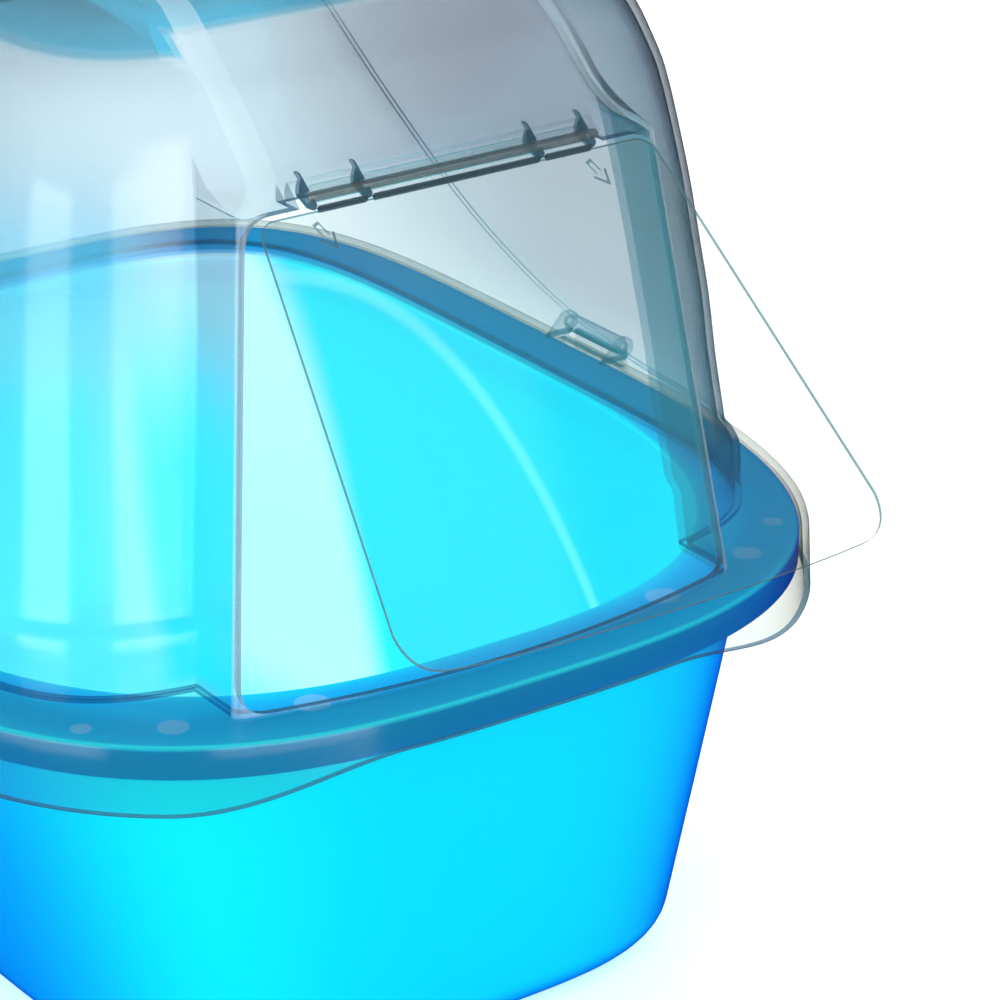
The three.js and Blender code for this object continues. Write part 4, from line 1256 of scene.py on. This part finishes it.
def makeTray():
    plastic = (hoodPlastic, hoodCutEdge)
    piece = prism("cassette", trayOutline(0), "xy", trayFloor, trayTop - tray["wall"] / 2, plastic)
    joined(piece, prism("rim", trayOutline(tray["lip"]), "xy", trayTop - tray["wall"], trayTop, plastic))
    hollow = trayOutline(-tray["wall"])
    cutBy(piece, prism("hollow", hollow, "xy", trayFloor + tray["wall"], trayTop + 1, plastic))
    softened(piece, 0.4, 2)
    slotted(piece, trayLow + 10, trayHigh - 10, trayFloor - 4, hoodPlastic)
    piece.data.materials.append(hoodCutEdge)
    y, z = coverAxis.y, coverAxis.z
    for side in (-1, 1):
        x = side * (tray["half"] - 8)
        outline = [(y - 2.6, trayTop - 0.5), (y + 2.9, trayTop - 0.5), (y + 2.9, z + 1)]
        outline += arc((y, z), 3, 20, 160, 8) + [(y - 2.6, z + 1)]
        joined(piece, softened(prism("ear", outline, "yz", x - 1.5, x + 1.5, plastic), 0.3))
    cutBy(piece, pin("bore", 1.6, -tray["half"], tray["half"], "x", (y, z), plastic, 0.2, 24))
    shaded(piece, 35)
    finish(piece, "cassette", "hood_smoke", "filter_tray")


def makeCover():
    bottom = trayTop + tray["gap"]
    top = bottom + tray["cover"]
    plastic = (trimPlastic,)
    edge = roundedBox(tray["half"] + tray["lip"], trayLow - tray["lip"], trayHigh - 3, 6)
    piece = prism("cassetteCover", edge, "xy", bottom, top, plastic)
    thumb = roundedBox(14, trayLow - tray["lip"] - 3, trayLow - tray["lip"] + 6, 2.5)
    joined(piece, prism("thumb", thumb, "xy", bottom, top, plastic))
    slotted(piece, trayLow + 8, trayHigh - 10, bottom - 3, trimPlastic)
    softened(piece, 0.5, 2)
    arm = tray["half"] - 8 - 1.5 - 0.5
    y, z = coverAxis.y, coverAxis.z
    for side in (-1, 1):
        inner = arm - 6 if side > 0 else -arm
        strip = [(inner, trayHigh - 5), (inner + 6, trayHigh - 5), (inner + 6, y), (inner, y)]
        ends = (arm - 1, arm + 3.2) if side > 0 else (-arm - 3.2, -arm + 1)
        joined(
            piece,
            prism("arm", strip, "xy", bottom, top, plastic),
            pin("barrel", tray["cover"] * 0.9, inner, inner + 6, "x", (y, z), plastic, 0.3, 32),
            pin("pin", 1.3, *ends, "x", (y, z), plastic, 0.25, 24),
        )
    shaded(piece, 35)
    finish(piece, "cassette_cover", "pan_blue", "filter_cover")


makeTray()
makeCover()


# Geometry Nodes: needled felt, an uneven slab with short fibres standing on it
def feltTree():
    tree, given = newTree("needledFelt", {
        "Slab": "Geometry", "Unevenness": "Float", "Fibre Length": "Float", "Fibre Radius": "Float",
        "Fibre Density": "Float", "Felt": "Material",
    }, "Pad")
    noise = addNode(tree, "ShaderNodeTexNoise", {"Scale": 260, "Detail": 3})
    level = mathNode(tree, "ADD", noise.outputs["Fac"], -0.9)
    height = mathNode(tree, "MULTIPLY", level, given["Unevenness"])
    normal = addNode(tree, "GeometryNodeInputNormal")
    push = addNode(tree, "ShaderNodeVectorMath", {0: normal.outputs[0], "Scale": height}, operation="SCALE")
    uneven = addNode(tree, "GeometryNodeSetPosition", {"Geometry": given["Slab"], "Offset": push.outputs[0]})
    points = addNode(tree, "GeometryNodeDistributePointsOnFaces", {
        "Mesh": uneven.outputs[0], "Density": given["Fibre Density"], "Seed": 7,
    })
    tip = addNode(tree, "ShaderNodeCombineXYZ", {2: given["Fibre Length"]})
    thread = addNode(tree, "GeometryNodeCurvePrimitiveLine", {"End": tip.outputs[0]})
    ring = addNode(tree, "GeometryNodeCurvePrimitiveCircle", {"Resolution": 3, "Radius": given["Fibre Radius"]})
    fibre = addNode(tree, "GeometryNodeCurveToMesh", {
        0: thread.outputs[0], "Profile Curve": ring.outputs[0], "Fill Caps": True,
    })
    lean = addNode(tree, "FunctionNodeRandomValue", {0: (-1.1, -1.1, 0), 1: (1.1, 1.1, 6.2), "Seed": 3},
                   data_type="FLOAT_VECTOR")
    turn = addNode(tree, "FunctionNodeRotateRotation", {
        "Rotation": points.outputs["Rotation"], "Rotate By": lean.outputs[0],
    }, rotation_space="LOCAL")
    fuzz = addNode(tree, "GeometryNodeInstanceOnPoints", {
        "Points": points.outputs["Points"], "Instance": fibre.outputs[0], "Rotation": turn.outputs[0],
    })
    whole = addNode(tree, "GeometryNodeJoinGeometry")
    tree.links.new(uneven.outputs[0], whole.inputs[0])
    tree.links.new(fuzz.outputs[0], whole.inputs[0])
    return endTree(tree, whole.outputs[0], given["Felt"])


def makePad():
    low, high = boxOf("filter_pad")
    halfX, steps = (high.x - low.x) / 2, 6
    middle = (high.z + low.z) / 2
    rings = []
    for step in range(-steps, steps + 1):
        angle = math.pi / 2 * step / steps
        inset = 1.4 * (1 - math.cos(angle))
        outline = roundedBox(halfX - inset, low.y + inset, high.y - inset, 4, 6)
        dense = []
        for i, point in enumerate(outline):
            after = Vector(outline[(i + 1) % len(outline)])
            here = Vector(point)
            cuts = max(1, round((after - here).length / 3))
            dense += [tuple(here.lerp(after, k / cuts)) for k in range(cuts)]
        rings.append([(x, y, middle + (high.z - middle) * math.sin(angle)) for x, y in dense])
    centre = Vector((0, (low.y + high.y) / 2))

    def shrunk(ring, share, swell):
        return [(x * share, centre.y + (y - centre.y) * share, z + swell) for x, y, z in ring]

    inner = [0.93, 0.84, 0.74, 0.62, 0.5, 0.38, 0.26, 0.13]
    rings = [shrunk(rings[0], share, 0) for share in inner[::-1]] + rings
    rings += [shrunk(rings[-1], share, 0) for share in inner]
    piece = loft("carbonPad", rings, (felt,))
    useTree(piece, feltTree(), **{
        "Unevenness": 0.6 * mm, "Fibre Length": 1.1 * mm, "Fibre Radius": 0.05 * mm, "Fibre Density": 60000.0,
        "Felt": felt,
    })
    shaded(piece, 60)
    finish(piece, "cassette", "filter_felt", "filter_pad")


makePad()


# the side latches

def makeLatch(side, name, body, node):
    hookTop = panHigh.z - pan["rimSkirt"] - latch["hookGap"]
    hookFoot = hookTop - latch["hook"]
    x, z = latchAxis.x, latchAxis.z
    inner = x + 1.9
    outer = inner + latch["plate"]
    outline = [
        (inner, z), (inner, hookTop), (x - 9, hookTop), (x - 9, hookTop - 1.2), (x - 6, hookFoot),
        (outer + 4, hookFoot), (outer + 4, hookFoot + 1.8), (outer, hookFoot + 6), (outer, z),
    ]
    outline = [(side * across, up) for across, up in outline]
    piece = prism(name, outline, "xz", -latch["half"], latch["half"], (hoodPlastic,))
    softened(piece, 0.5, 2)
    middle = (side * x, z)
    tools = [
        pin("barrel", latch["barrel"], -latch["half"], latch["half"], "y", middle, (hoodPlastic,), 0.6),
        pin("pin", latch["pin"], -latch["half"] - 3.6, latch["half"] + 3.6, "y", middle, (hoodPlastic,), 0.4),
    ]
    for rib in range(4):
        height = hookFoot + 9 + rib * 3.2
        ridge = [(-0.5, 0), (0.1, 0), (0.7, 0.6), (0.7, 1), (0.1, 1.6), (-0.5, 1.6)]
        ridge = [(side * (outer + across), height + up) for across, up in ridge]
        tools.append(prism("rib", ridge, "xz", -latch["half"] + 4, latch["half"] - 4, (hoodPlastic,)))
    joined(piece, *tools)
    shaded(piece, 35)
    finish(piece, body, "hood_smoke", node)


makeLatch(-1, "latchLeft", "left_latch", "latch_left")
makeLatch(1, "latchRight", "right_latch", "latch_right")


# floor and light

studio = {
    "floor": "#f7f8f8", "floorPale": "#fbfbfb", "floorHalf": 9000, "paperGlow": 0.35,
    "sky": 1.0, "side": 20, "front": 24, "back": 30,
}


def makeFloor():
    material, tree = newMaterial("paperSweep")
    grain = addNode(tree, "ShaderNodeTexNoise", {
        "Vector": addNode(tree, "ShaderNodeTexCoord").outputs["Object"], "Scale": 9, "Detail": 2,
    })
    colour = mixNode(tree, grain.outputs["Fac"], linear(studio["floor"]), linear(studio["floorPale"]))
    body = addNode(tree, "ShaderNodeBsdfPrincipled", {
        "Base Color": colour, "Roughness": 0.8,
        "Emission Color": (1, 1, 1, 1), "Emission Strength": studio["paperGlow"],
    })
    addNode(tree, "ShaderNodeOutputMaterial", {"Surface": body.outputs[0]})
    half, level = studio["floorHalf"], -0.5
    corners = [(-half, -half, level), (half, -half, level), (half, half, level), (-half, half, level)]
    floor = meshObject("floor", corners, [(0, 1, 2, 3)], (material,))
    floor.visible_glossy = False


def addLight(name, power, size, place, aim=(0, 0, 200)):
    data = bpy.data.lights.new(name, "AREA")
    data.shape, data.size, data.size_y, data.energy = "RECTANGLE", size[0], size[1], power
    lamp = bpy.data.objects.new(name, data)
    lamp.location = Vector(place) * mm
    lamp.rotation_mode = "QUATERNION"
    lamp.rotation_quaternion = (Vector(aim) * mm - lamp.location).to_track_quat("-Z", "Y")
    bpy.context.scene.collection.objects.link(lamp)
    return lamp


def lightStudio():
    world = bpy.data.worlds.new("studio")
    world.use_nodes = True
    world.node_tree.nodes["Background"].inputs["Color"].default_value = (1, 1, 1, 1)
    world.node_tree.nodes["Background"].inputs["Strength"].default_value = studio["sky"]
    world.cycles_visibility.glossy = False  # only the soft boxes are mirrored in the plastic
    bpy.context.scene.world = world
    addLight("sideBox", studio["side"], (1.5, 1.75), (-2415, -647, 375), (0, 0, 375))
    addLight("frontBox", studio["front"], (1.7, 2.0), (-350, -2480, 550), (0, 0, 550))
    addLight("backBox", studio["back"], (2.4, 1.6), (700, 2300, 1700)).visible_glossy = False


makeFloor()
lightStudio()
bpy.context.scene.view_settings.view_transform = "Standard"
bpy.context.scene.cycles.transparent_max_bounces = 24  # the sheets stand many deep
print("studio lit")
